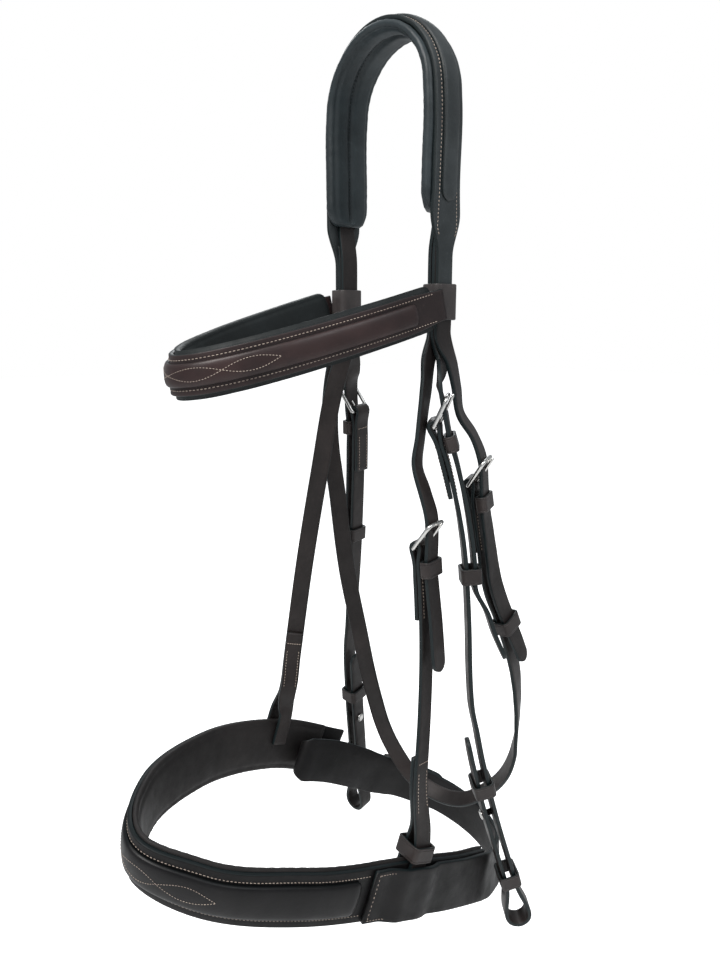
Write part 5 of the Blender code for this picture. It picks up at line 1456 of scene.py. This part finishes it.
class Cheek:
    """A cheekpiece with its buckle, keepers, bit loop and hook stud, and the billet it hangs from."""

    def __init__(self, shop: Workshop, head: Headpiece, side: str) -> None:
        self.shop = shop
        self.head = head
        self.side = side
        self.near = side == "near"
        self.route = Route(rows_from(NEAR_CHEEK if self.near else FAR_CHEEK))
        self.clasp = Clasp(side + "_cheek_buckle", self.route, 0.0, STRAP.width)

    def leg_out(self, mark: float) -> float:
        """How far the strap's outer leg lies from the route: its return leg mirrors it."""
        back = self.route.length - mark
        layer = self.clasp.layer
        pair = blend((CHEEK.return_length + CHEEK.loop_blend - back) / CHEEK.loop_blend)
        out = layer + (CHEEK.pair_out - layer) * pair
        return out + (CHEEK.loop_radius - out) * blend(1.0 - back / CHEEK.loop_blend)

    def build(self) -> None:
        """Make every piece of the cheekpiece."""
        side, route, last = self.side, self.route, self.route.length
        ribbon = Ribbon()
        self.clasp.add_fold(ribbon, BUCKLE.turnback)
        legs = marks_between(BUCKLE.fold_blend, last - CHEEK.loop_blend)
        legs += marks_between(last - CHEEK.loop_blend, last, CHEEK.loop_blend / 4)[1:]
        ribbon.follow(route, legs, self.leg_out, forward=False)
        foot = route.frame(last)
        for angle_deg in (30, 60, 78, 102, 120, 150):
            angle = math.radians(angle_deg)
            ribbon.add(foot.at(0.0, CHEEK.loop_radius * math.cos(angle), CHEEK.loop_radius * math.sin(angle)),
                       -foot.across)
        returning = [mark for mark in reversed(legs) if mark > last - CHEEK.return_length]
        for mark in returning + [last - CHEEK.return_length]:
            ribbon.add(route.at(mark, -self.leg_out(mark)), -route.frame(mark).across)
        self.shop.leather(ribbon.rounded().make(side + "_cheek_strap"), STRAP_BROWN, STRAPS,
                          side + "_cheekpiece")
        self._buckle()
        self._stud(route.frame(last - CHEEK.stud_place))
        billet = self.head.billet(self.near, NEAR_CHEEK_BILLET if self.near else FAR_CHEEK_BILLET,
                                  self.clasp, NEAR_TAIL if self.near else FAR_TAIL)
        self.shop.leather(billet.make(side + "_cheek_billet_strap"), STRAP_BROWN, STRAPS,
                          side + "_cheek_billet")
        holes = PunchedHoles(side + "_cheek_billet_holes", billet, self.clasp.bar.place, 0.022, 4)
        self.shop.leather(holes.make(), HOLE_PAINTED_SHADE, STRAPS)
        self._stitching()

    def _buckle(self) -> None:
        side, route, last = self.side, self.route, self.route.length
        self.shop.steel(self.clasp.frame_piece(), side + "_cheek_buckle_frame", side + "_cheek_buckle_frame")
        self.shop.steel(self.clasp.tongue_piece(), side + "_cheek_buckle_tongue",
                        side + "_cheek_buckle_tongue")
        outer = self.clasp.layer + STRAP.thickness / 2
        under, over = self.clasp.billet_span()
        pair = CHEEK.pair_out + STRAP.thickness / 2
        half = BUCKLE.keeper_height / 2
        self._keeper("cheek_keeper", STRAPS, BUCKLE.keeper_seat + half, under, over)
        self._keeper("cheek_runner", "", CHEEK.runner_place, outer - STRAP.thickness, over)
        self._keeper("bit_keeper", STRAPS, last - CHEEK.loop_blend - half, -pair, pair)
        self._keeper("bit_runner", "", last - CHEEK.bit_runner_place, -pair, pair)

    def _keeper(self, kind: str, body: str, mark: float, inner: float, outer: float) -> None:
        node = self.side + "_" + kind
        piece = keeper_piece(node + "_leather", self.route, mark, inner, outer, STRAP.width)
        self.shop.leather(piece, KEEPER_BROWN, body or node, node)

    def _stud(self, frame: Frame) -> None:
        inner = CHEEK.pair_out + STRAP.thickness / 2 + STRAP.gap
        top = inner + CHEEK.stud_height
        profile = [(0.0, -CHEEK.pair_out), (CHEEK.stud_radius, -CHEEK.pair_out), (CHEEK.stud_radius, inner),
                   (CHEEK.stud_head * 0.96, inner), (CHEEK.stud_head, inner + CHEEK.stud_height * 0.2),
                   (CHEEK.stud_head, inner + CHEEK.stud_height * 0.45),
                   (CHEEK.stud_head * 0.86, inner + CHEEK.stud_height * 0.80),
                   (CHEEK.stud_head * 0.5, top), (0.0, top)]
        piece = lathe(self.side + "_hook_stud_turned", frame.place, -frame.outward, frame.along, profile)
        self.shop.steel(piece, STRAPS, self.side + "_hook_stud")

    def _stitching(self) -> None:
        thread = Thread(self.side + "_cheek_stitches")
        out = self.clasp.layer + STRAP.thickness / 2 + 0.00010
        side = STRAP.width / 2 - 0.0021
        for sign in (-1, 1):
            thread.row(self.route, BUCKLE.fold_blend + 0.010, BUCKLE.turnback - 0.002, sign * side, out)
            thread.row(self.route, BUCKLE.fold_blend + 0.010, BUCKLE.turnback - 0.002, sign * side, -out, -1)
        thread.cross(self.route, BUCKLE.fold_blend + 0.0045, side + 0.001, out)
        self.shop.thread(thread)


def lathe(name: str, place: Vector, axis: Vector, side: Vector,
          profile: Sequence[tuple[float, float]]) -> bpy.types.Object:
    """A turned piece, spun from its profile.

    Args:
        name: The object's name.
        place: The point that the profile's heights start from.
        axis: The direction that the heights go in.
        side: A direction square to the axis.
        profile: Radius and height pairs.

    Returns:
        The finished object.
    """
    bm = bmesh.new()
    verts = [bm.verts.new(place + side * radius + axis * height) for radius, height in profile]
    edges = [bm.edges.new(pair) for pair in zip(verts, verts[1:])]
    bmesh.ops.spin(bm, geom=verts + edges, cent=place, axis=axis, angle=math.tau, steps=24,
                   use_merge=True, use_normal_flip=False)
    bmesh.ops.remove_doubles(bm, verts=bm.verts, dist=0.00001)
    bmesh.ops.recalc_face_normals(bm, faces=bm.faces)
    for face in bm.faces:
        face.smooth = True
    return finish_mesh(name, bm)


# Painted shade: near-black discs stand for the shade inside each punched hole.
HOLE_PAINTED_SHADE = LeatherFinish("punched_hole_painted_shade", (0.002, 0.002, 0.002), (0.004, 0.004, 0.004),
                          (0.002, 0.002, 0.002), (0.7, 0.85), 0.1, 0.0)


class PunchedHoles:
    """Spare holes along a billet: pressed rims round cups painted near-black as the shade inside the holes."""

    def __init__(self, name: str, billet: Ribbon, bar: Vector, pitch: float, count: int) -> None:
        self.name = name
        self.rings = billet.rings()
        self.pitch = pitch
        self.count = count
        self.start = min(self.rings, key=lambda ring: (ring.frame.place - bar).length).run

    def make(self) -> bpy.types.Object:
        """One oval cup for each hole, set in both faces of the strap."""
        bm = bmesh.new()
        for number in range(1, self.count + 1):
            due = self.start + self.pitch * number
            ring = min(self.rings, key=lambda ring: abs(ring.run - due))
            frame = ring.frame
            for sign in (-1, 1):
                centre = frame.at(0.0, sign * (ring.thickness / 2 + 0.00002))
                turn = Matrix((frame.across, frame.along, frame.outward * sign)).transposed().to_4x4()
                made = bmesh.ops.create_circle(bm, cap_ends=True, segments=14, radius=0.00105,
                                               matrix=Matrix.Translation(centre) @ turn)
                faces = list({face for vert in made["verts"] for face in vert.link_faces})
                rim = bmesh.ops.inset_region(bm, faces=faces, thickness=0.00022, depth=-0.0001)
                for face in rim["faces"]:
                    face.smooth = True
        return finish_mesh(self.name, bm)


class Throat:
    """The throatlash, its near billet, buckle, keeper and runner."""

    def __init__(self, shop: Workshop, head: Headpiece) -> None:
        self.shop = shop
        self.head = head
        rows = list(reversed(rows_from(THROATLASH)))
        layer = (STRAP.thickness + STRAP.gap) / 2
        for drop in (CROWN.foot_drop, CROWN.end_drop + STRAP.gap):
            mark = head.route.length - (CROWN.foot_drop - drop)
            rows.append((head.route.at(mark, STRAP.thickness / 2 - layer), facing(180, 0)))
        self.route = Route(rows)
        self.clasp = Clasp("throat_buckle", self.route, 0.0, STRAP.width)

    def build(self) -> None:
        """Make every piece of the throatlash."""
        ribbon = Ribbon()
        self.clasp.add_fold(ribbon, BUCKLE.turnback)
        ribbon.follow(self.route, marks_between(BUCKLE.fold_blend, self.route.length), self.clasp.layer,
                      forward=False)
        self.shop.leather(ribbon.make("throatlash_strap"), STRAP_BROWN, STRAPS, "throatlash")
        ribbon = Ribbon()
        kept = self.head.add_stack(ribbon, True, CROWN.end_drop + STRAP.gap, STRAP.thickness / 2)
        add_free(ribbon, NEAR_THROAT)
        self.clasp.add_billet(ribbon, THROAT_TAIL, CHEEK.throat_runner_place + BUCKLE.keeper_height)
        billet = ribbon.smoothed(kept).rounded()
        self.shop.leather(billet.make("near_throat_billet_strap"), STRAP_BROWN, STRAPS, "near_throat_billet")
        holes = PunchedHoles("near_throat_billet_holes", billet, self.clasp.bar.place, 0.022, 4)
        self.shop.leather(holes.make(), HOLE_PAINTED_SHADE, STRAPS)
        self.shop.steel(self.clasp.frame_piece(), "throat_buckle_frame", "throat_buckle_frame")
        self.shop.steel(self.clasp.tongue_piece(), "throat_buckle_tongue", "throat_buckle_tongue")
        outer = self.clasp.layer + STRAP.thickness / 2
        under, over = self.clasp.billet_span()
        for node, body, mark, inner in (
                ("throat_keeper", STRAPS, BUCKLE.keeper_seat + BUCKLE.keeper_height / 2, under),
                ("throat_runner", "throat_runner", CHEEK.throat_runner_place, outer - STRAP.thickness)):
            piece = keeper_piece(node + "_leather", self.route, mark, inner, over, STRAP.width)
            self.shop.leather(piece, KEEPER_BROWN, body, node)
        thread = Thread("throat_stitches")
        out = outer + 0.00010
        for sign in (-1, 1):
            side = sign * (STRAP.width / 2 - 0.0021)
            thread.row(self.route, BUCKLE.fold_blend + 0.010, BUCKLE.turnback - 0.002, side, out)
            thread.row(self.route, BUCKLE.fold_blend + 0.010, BUCKLE.turnback - 0.002, side, -out, -1)
        thread.cross(self.route, BUCKLE.fold_blend + 0.0045, STRAP.width / 2 - 0.0011, out)
        self.shop.thread(thread)


class Noseband:
    """The padded nose piece, the headstrap and cheek that hang it, and the chin strap."""

    def __init__(self, shop: Workshop, head: Headpiece) -> None:
        self.shop = shop
        self.head = head
        self.route = Route(rows_from(NOSE_PIECE))
        length = self.route.length
        self.near_mark = length * NOSE.near_place
        self.far_mark = length * NOSE.far_place
        self.pad_end = length - CHIN.chape_length + CHIN.dee_stand
        self.flap_start = length * NOSE.flap_start
        self.near_route = Route(rows_from(NEAR_NOSE) + self._hanger_rows(self.near_mark))
        self.far_route = Route(rows_from(FAR_NOSE) + self._hanger_rows(self.far_mark))
        self.clasp = Clasp("noseband_buckle", self.near_route, 0.0, STRAP.width)

    def _hanger_rows(self, mark: float) -> list[Row]:
        frame = self.route.frame(mark)
        edge = NOSE.pad_width / 2
        return [(frame.at(edge + above), frame.outward)
                for above in (NOSE.spread_drop / 4, 0.0, -NOSE.lap)]

    def flap_out(self, mark: float) -> float:
        """How far the flap's middle lies from the route: up and over the hanger's leg."""
        plain = NOSE.thickness + STRAP.gap + CHIN.thickness / 2
        flat = STRAP.width / 2 + NOSE.flap_margin
        share = (flat + NOSE.flap_ramp - abs(mark - self.near_mark)) / NOSE.flap_ramp
        return plain + (STRAP.thickness + 2 * STRAP.gap) * blend(share)

    def spread(self, route: Route, mark: float) -> float:
        """How far a hanger's two legs have parted, 0 to 1."""
        return blend((mark - (route.length - NOSE.lap - NOSE.spread_drop)) / NOSE.spread_drop)

    def outer(self, route: Route, mark: float) -> float:
        """The place of a hanger's outer leg."""
        reach = NOSE.thickness + STRAP.gap + STRAP.thickness / 2
        return self.clasp.layer + (reach - self.clasp.layer) * self.spread(route, mark)

    def inner(self, route: Route, mark: float) -> float:
        """The place of a hanger's inner leg."""
        reach = -(2 * STRAP.gap + NOSE.pad_thickness + STRAP.thickness / 2)
        return -self.clasp.layer + (reach + self.clasp.layer) * self.spread(route, mark)

    def build(self) -> None:
        """Make every piece of the noseband."""
        self._nose_piece()
        self._near_cheek()
        self._headstrap()
        self._stitching()
        ChinStrap(self.shop, self).build()

    def _leg(self, name: str, route: Route) -> bpy.types.Object:
        ribbon = Ribbon()
        start = route.length - NOSE.lap - NOSE.spread_drop - NOSE.sewn_length
        marks = [mark for mark in marks_between(0.0, route.length, STRAP.step * 0.5) if mark > start]
        ribbon.follow(route, marks, lambda mark: self.inner(route, mark) + 0.0002 * (
            1.0 - self.spread(route, mark)), STRAP.width - STRAP.gap)
        return ribbon.make(name)

    def _near_cheek(self) -> None:
        route = self.near_route
        ribbon = Ribbon()
        self.clasp.add_fold(ribbon, BUCKLE.turnback)
        marks = marks_between(BUCKLE.fold_blend, route.length, STRAP.step * 0.7)
        ribbon.follow(route, marks, lambda mark: self.outer(route, mark), forward=False)
        self.shop.leather(ribbon.make("near_noseband_strap"), STRAP_BROWN, STRAPS, "near_noseband_cheek")
        self.shop.leather(self._leg("near_noseband_inner_leg", route), STRAP_BROWN, STRAPS)
        self.shop.steel(self.clasp.frame_piece(), "noseband_buckle_frame", "noseband_buckle_frame")
        self.shop.steel(self.clasp.tongue_piece(), "noseband_buckle_tongue", "noseband_buckle_tongue")
        under, over = self.clasp.billet_span()
        piece = keeper_piece("noseband_keeper_leather", route,
                             BUCKLE.keeper_seat + BUCKLE.keeper_height / 2, under, over, STRAP.width)
        self.shop.leather(piece, KEEPER_BROWN, STRAPS, "noseband_keeper")
        mark = route.length - NOSE.lap - BUCKLE.keeper_height * 0.55
        low = mark + BUCKLE.keeper_height / 2
        piece = keeper_piece("near_hanger_keeper_leather", route, mark,
                             self.inner(route, low) - STRAP.thickness / 2,
                             self.outer(route, low) + STRAP.thickness / 2, STRAP.width)
        self.shop.leather(piece, KEEPER_BROWN, STRAPS, "near_hanger_keeper")

    def _headstrap(self) -> None:
        head, route = self.head, self.far_route
        near = Ribbon()
        kept = head.add_stack(near, True, CROWN.lip_drop, head.head_out)
        add_free(near, NEAR_NOSE_BILLET)
        self.clasp.add_billet(near, NOSE_TAIL, BUCKLE.keeper_seat + BUCKLE.keeper_height * 1.3)
        near = near.smoothed(kept).rounded()
        ribbon = Ribbon()
        for index in range(len(near.points) - 1, 0, -1):
            ribbon.copy_from(near, index, -1)
        ribbon.follow(head.route, head.marks(CROWN.foot_drop - CROWN.lip_drop), head.head_out, forward=False)
        ribbon.follow(head.route, head.side_marks(False, CROWN.lip_drop)[1:], head.head_out, forward=False)
        layer = self.clasp.layer
        ribbon.follow(route, marks_between(0.0, route.length, STRAP.step * 0.8),
                      lambda mark: self.outer(route, mark) - layer * (1.0 - blend(mark / BUCKLE.turnback)),
                      forward=False)
        self.shop.leather(ribbon.make("noseband_headstrap_strap"), STRAP_BROWN, STRAPS, "noseband_headstrap")
        self.shop.leather(self._leg("far_noseband_inner_leg", route), STRAP_BROWN, STRAPS)
        holes = PunchedHoles("noseband_billet_holes", near, self.clasp.bar.place, 0.020, 3)
        self.shop.leather(holes.make(), HOLE_PAINTED_SHADE, STRAPS)

    def _nose_piece(self) -> None:
        route, length = self.route, self.route.length
        rings = rings_on(route, 0.0, length, NOSE.width, NOSE.thickness)
        piece = Sweep("nose_outer_leather").make(rings, strap_section, NOSE.thickness / 2)
        self.shop.leather(piece, NOSE_LEATHER, STRAPS, "nose_leather")

        def share(mark: float) -> float:
            return 0.55 + 0.45 * end_share(mark, self.pad_end - mark, 0.010)

        rings = rings_on(route, 0.0, self.pad_end, NOSE.pad_width, lambda mark: NOSE.pad_thickness * share(mark),
                         0.0018)
        piece = Sweep("nose_soft_padding").make(
            rings, pad_section, -STRAP.gap,
            shift=lambda ring, side, edge: pad_relief(ring, side, min(ring.run, self.pad_end - ring.run), 0.0006))
        self.shop.leather(piece, NOSE_LINING, STRAPS, "nose_padding")
        start, end = length * NOSE.raised_from, length * NOSE.raised_to
        rings = rings_on(route, start, end,
                         lambda mark: NOSE.raised_width * end_share(mark - start, end - mark, 0.005),
                         lambda mark: NOSE.raised_thickness * end_share(mark - start, end - mark, 0.007),
                         0.0015)
        piece = Sweep("nose_raised_strip").make(rings, dome_section, NOSE.thickness + STRAP.gap * 0.3)
        self.shop.leather(piece, NOSE_RAISED, STRAPS, "nose_raised_front")

    def _stitching(self) -> None:
        route, length = self.route, self.route.length
        thread = Thread("noseband_stitches")
        for sign in (-1, 1):
            thread.row(route, self.flap_start + 0.002, length * (NOSE.raised_to + 0.02),
                       sign * (NOSE.raised_width / 2 + 0.0017), NOSE.thickness + 0.00012)
        lace(thread, route, length * 0.5, NOSE.raised_width, NOSE.raised_thickness,
             NOSE.thickness + STRAP.gap * 0.3, NOSE.lace_knots, 0.22)
        edge = STRAP.width / 2 - 0.0021
        outer = self.clasp.layer + STRAP.thickness / 2 + 0.0001
        for strap, low, high, out in ((self.near_route, BUCKLE.fold_blend + 0.010, BUCKLE.turnback - 0.002, outer),
                                      (self.near_route, self.near_route.length - 0.075,
                                       self.near_route.length - 0.050, outer),
                                      (self.far_route, self.far_route.length - 0.078,
                                       self.far_route.length - 0.050, outer)):
            for sign in (-1, 1):
                thread.row(strap, low, high, sign * edge, out)
                thread.row(strap, low, high, sign * edge, -out, -1)
            thread.cross(strap, low - 0.0055, edge + 0.001, out)
        self.shop.thread(thread)


class ChinStrap:
    """The chin strap with its sewn flap, its return through the dee, and its own buckle."""

    def __init__(self, shop: Workshop, band: Noseband) -> None:
        self.shop = shop
        self.band = band
        rows: list[Row] = []
        for mark in (band.near_mark, band.near_mark / 2, 0.0):
            frame = band.route.frame(mark)
            rows.append((frame.at(0.0, band.flap_out(0.0)), frame.outward))
        self.route = Route(rows + rows_from(CHIN_BACK))
        last = self.route.length
        rows = []
        for back in marks_between(CHIN.free_length, CHIN.free_length + CHIN.back_length, NOSE.step):
            frame = self.route.frame(last - back)
            lift = CHIN.thickness / 2 + 2 * STRAP.gap + BUCKLE.wire + CHIN.chape_thickness
            rows.append((frame.at(0.0, lift), frame.outward))
        self.chape_route = Route(rows)
        self.clasp = Clasp("chin_buckle", self.chape_route, BUCKLE.length, CHIN.tail_width,
                           STRAP.thickness, CHIN.chape_thickness, CHIN.slant_deg)
        self.clasp.ride = CHIN.ride

    def build(self) -> None:
        """Make every piece of the chin strap."""
        self.shop.leather(self._strap().make("chin_strap_leather"), NOSE_LEATHER, STRAPS, "chin_strap")
        clasp = self.clasp
        ribbon = Ribbon()
        clasp.add_fold(ribbon, CHIN.chape_length)
        ribbon.follow(self.chape_route, marks_between(clasp.bar_mark + BUCKLE.fold_blend,
                                                      clasp.bar_mark + CHIN.chape_length),
                      clasp.layer, CHIN.tail_width, CHIN.chape_thickness, forward=False)
        self.shop.leather(ribbon.make("chin_chape_leather"), NOSE_LEATHER, STRAPS, "chin_buckle_chape")
        self.shop.steel(clasp.frame_piece(), "chin_buckle_frame", "chin_buckle_frame")
        self.shop.steel(clasp.tongue_piece(), "chin_buckle_tongue", "chin_buckle_tongue")
        under, over = clasp.billet_span()
        piece = keeper_piece("chin_keeper_leather", self.chape_route,
                             clasp.bar_mark + BUCKLE.keeper_seat + CHIN.keeper_height / 2, under, over,
                             CHIN.tail_width, CHIN.keeper_height)
        self.shop.leather(piece, KEEPER_BROWN, STRAPS, "chin_keeper")
        self._dee()
        self._stitching()

    def _strap(self) -> Ribbon:
        route, last = self.route, self.route.length
        ribbon = Ribbon()
        first = route.marks[2 * Route.SPANS]

        def width(mark: float) -> float:
            return CHIN.turn_width + (CHIN.width - CHIN.turn_width) * blend((last - mark) / CHIN.taper_length)

        def thickness(mark: float) -> float:
            return CHIN.turn_thickness + (CHIN.thickness - CHIN.turn_thickness) * blend((last - mark) / 0.016)

        flap = marks_between(self.band.flap_start, 0.0, 0.006)
        ribbon.follow(self.band.route, flap, self.band.flap_out, CHIN.width, CHIN.thickness, forward=False)
        ribbon.follow(route, marks_between(first, last, NOSE.step)[1:], 0.0, width, thickness)
        turn = route.frame(last)
        for angle_deg in (36, 72, 108, 144, 180):
            angle = math.radians(angle_deg)
            wide = CHIN.turn_width + (CHIN.tail_width - CHIN.turn_width) * angle / math.pi
            ribbon.add(turn.at(0.0, CHIN.turn_radius * (1 - math.cos(angle)), CHIN.turn_radius * math.sin(angle)),
                       turn.across, wide, CHIN.turn_thickness)
        for share in (0.28, 0.52):
            mark = last - CHIN.free_length * share
            ribbon.add(route.at(mark, 2 * CHIN.turn_radius), route.frame(mark).across, CHIN.tail_width)
        clasp = self.clasp
        front = -BUCKLE.length * math.cos(clasp.slant)
        for down in (front, front / 2, 0.0, BUCKLE.fold_blend / 2):
            ribbon.add(clasp.point(down, clasp.billet_out(down)), -clasp.bar.across, CHIN.tail_width)
        for down in marks_between(BUCKLE.fold_blend, CHIN.tail_length):
            frame = self.chape_route.frame(clasp.bar_mark + down)
            ribbon.add(frame.at(0.0, clasp.billet_out(down)), -frame.across, CHIN.tail_width)
        return ribbon.rounded()

    def _dee(self) -> None:
        nose = self.band.route
        out = -(2 * STRAP.gap + CHIN.chape_thickness + STRAP.gap / 2)
        rows: list[Row] = []
        for back in (0.0, CHIN.chape_length / 2, CHIN.chape_length):
            frame = nose.frame(nose.length + CHIN.dee_stand - back)
            rows.append((frame.at(-CHIN.dee_lowered, out), frame.outward))
        route = Route(rows)
        tab = Clasp("chin_dee_tab", route, 0.0, CHIN.tail_width, STRAP.thickness, CHIN.chape_thickness, 0.0)
        tab.fold_radius = CHIN.dee_wire + STRAP.gap + CHIN.chape_thickness / 2
        end = CHIN.chape_length - CHIN.dee_stand - STRAP.gap
        ribbon = Ribbon()
        tab.add_fold(ribbon, end)
        ribbon.follow(route, marks_between(BUCKLE.fold_blend, end), tab.layer, CHIN.tail_width,
                      CHIN.chape_thickness, forward=False)
        self.shop.leather(ribbon.make("dee_tab_leather"), NOSE_LEATHER, STRAPS, "dee_tab")
        half = CHIN.tail_width / 2 + CHIN.dee_clearance + CHIN.dee_wire
        turn = math.radians(CHIN.dee_turn_deg)
        down = CHIN.dee_length * math.cos(turn)
        inward = -CHIN.dee_length * math.sin(turn)
        corners = [tab.point(0.0, 0.0, -half), tab.point(0.0, 0.0, half), tab.point(down, inward, half),
                   tab.point(down, inward, -half)]
        self.shop.steel(wire_loop("chin_dee_wire", corners, CHIN.dee_wire_seen, BUCKLE.corner), "chin_dee",
                        "chin_dee")

    def _stitching(self) -> None:
        thread = Thread("chin_stitches")
        band = self.band
        edge = CHIN.width / 2 - 0.0022
        out = CHIN.thickness / 2 + 0.00012

        def over(mark: float) -> float:
            return band.flap_out(mark) + out

        for sign in (-1, 1):
            thread.row(band.route, band.near_mark + 0.018, band.flap_start - 0.0022, sign * edge, over)
        end = band.flap_start - 0.0024
        frame = band.route.frame(end)
        points = [(frame.at(side, over(end)), frame.outward) for side in marks_between(-edge, edge, 0.002)]
        thread.line(points, 0.0028)
        self.shop.thread(thread)


class Studio:
    """Floor, backdrop, lights and camera."""

    EYE = Vector((0.3554, -0.3233, -0.171))
    AZIMUTH_DEG = 50.0
    PITCH_DEG = -11.7
    LENS = 27.1

    def build(self) -> None:
        """Set the studio up round the object."""
        self._floor()
        self._world()
        self._lights()
        self._camera()

    def _floor(self) -> None:
        bm = bmesh.new()
        bmesh.ops.create_grid(bm, x_segments=2, y_segments=2, size=9.0,
                              matrix=Matrix.Translation((0.0, 0.0, -HEAD.drop - 0.16)))
        floor = finish_mesh("studio_floor", bm)
        material = bpy.data.materials.new("floor_paper")
        material.use_nodes = True
        tree = material.node_tree
        shader = tree.nodes["Principled BSDF"]
        shader.inputs["Base Color"].default_value = (0.92, 0.92, 0.92, 1.0)
        shader.inputs["Roughness"].default_value = 0.9
        glow = tree.nodes.new("ShaderNodeEmission")
        path = tree.nodes.new("ShaderNodeLightPath")
        strength = tree.nodes.new("ShaderNodeMath")
        strength.operation = "MULTIPLY"
        strength.inputs[1].default_value = 0.86
        both = tree.nodes.new("ShaderNodeAddShader")
        tree.links.new(path.outputs["Is Camera Ray"], strength.inputs[0])
        tree.links.new(strength.outputs["Value"], glow.inputs["Strength"])
        tree.links.new(shader.outputs["BSDF"], both.inputs[0])
        tree.links.new(glow.outputs["Emission"], both.inputs[1])
        tree.links.new(both.outputs["Shader"], tree.nodes["Material Output"].inputs["Surface"])
        floor.data.materials.append(material)

    def _world(self) -> None:
        world = bpy.data.worlds.new("studio")
        bpy.context.scene.world = world
        world.use_nodes = True
        tree = world.node_tree
        tree.nodes.clear()
        output = tree.nodes.new("ShaderNodeOutputWorld")
        seen = tree.nodes.new("ShaderNodeBackground")
        seen.inputs["Color"].default_value = (1.0, 1.0, 1.0, 1.0)
        seen.inputs["Strength"].default_value = 1.0
        lit = tree.nodes.new("ShaderNodeBackground")
        lit.inputs["Color"].default_value = (0.93, 0.97, 1.0, 1.0)
        lit.inputs["Strength"].default_value = 0.42
        path = tree.nodes.new("ShaderNodeLightPath")
        mix = tree.nodes.new("ShaderNodeMixShader")
        tree.links.new(path.outputs["Is Camera Ray"], mix.inputs["Fac"])
        tree.links.new(lit.outputs["Background"], mix.inputs[1])
        tree.links.new(seen.outputs["Background"], mix.inputs[2])
        tree.links.new(mix.outputs["Shader"], output.inputs["Surface"])

    def _lights(self) -> None:
        self._area("key", (0.25, -1.0, 1.05), (0.0, 0.0, -0.15), 1.0, 25.0, (1.0, 0.98, 0.96))
        self._area("side", (1.2, 0.1, 0.8), (0.0, 0.0, -0.1), 0.8, 6.0, (0.95, 0.98, 1.0))
        self._area("back", (-1.1, 0.8, 0.7), (0.0, 0.0, -0.2), 0.9, 8.0, (0.95, 0.98, 1.0))

    @staticmethod
    def _area(name: str, place: tuple[float, float, float], aim: tuple[float, float, float], size: float,
              power: float, colour: tuple[float, float, float]) -> None:
        light = bpy.data.lights.new(name, "AREA")
        light.shape = "DISK"
        light.size = size
        light.energy = power
        light.color = colour
        lamp = bpy.data.objects.new(name, light)
        lamp.location = place
        lamp.rotation_euler = (Vector(aim) - Vector(place)).to_track_quat("-Z", "Y").to_euler()
        bpy.context.scene.collection.objects.link(lamp)

    def _camera(self) -> None:
        data = bpy.data.cameras.new("camera")
        data.lens = self.LENS
        data.sensor_fit = "VERTICAL"
        data.sensor_height = 36.0
        camera = bpy.data.objects.new("camera", data)
        turn = math.radians(self.AZIMUTH_DEG)
        pitch = math.radians(self.PITCH_DEG)
        ahead = Vector((-math.sin(turn) * math.cos(pitch), math.cos(turn) * math.cos(pitch), math.sin(pitch)))
        camera.location = self.EYE
        camera.rotation_euler = ahead.to_track_quat("-Z", "Y").to_euler()
        bpy.context.scene.collection.objects.link(camera)
        bpy.context.scene.camera = camera


def keep_size() -> None:
    """Bring the view layer up to date."""
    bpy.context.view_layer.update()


def main() -> None:
    """Load the frame and build every piece round it."""
    logging.basicConfig(level=logging.INFO, format="%(name)s %(message)s")
    for thing in list(bpy.data.objects):
        bpy.data.objects.remove(thing, do_unlink=True)
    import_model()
    shop = Workshop()
    head = Headpiece(shop)
    head.build()
    Browband(shop, head).build()
    for side in ("near", "far"):
        Cheek(shop, head, side).build()
    Throat(shop, head).build()
    Noseband(shop, head).build()
    Studio().build()
    bpy.context.scene.view_settings.view_transform = "Standard"
    keep_size()
    LOG.info("%d pieces", shop.count)


if __name__ == "__main__":
    main()
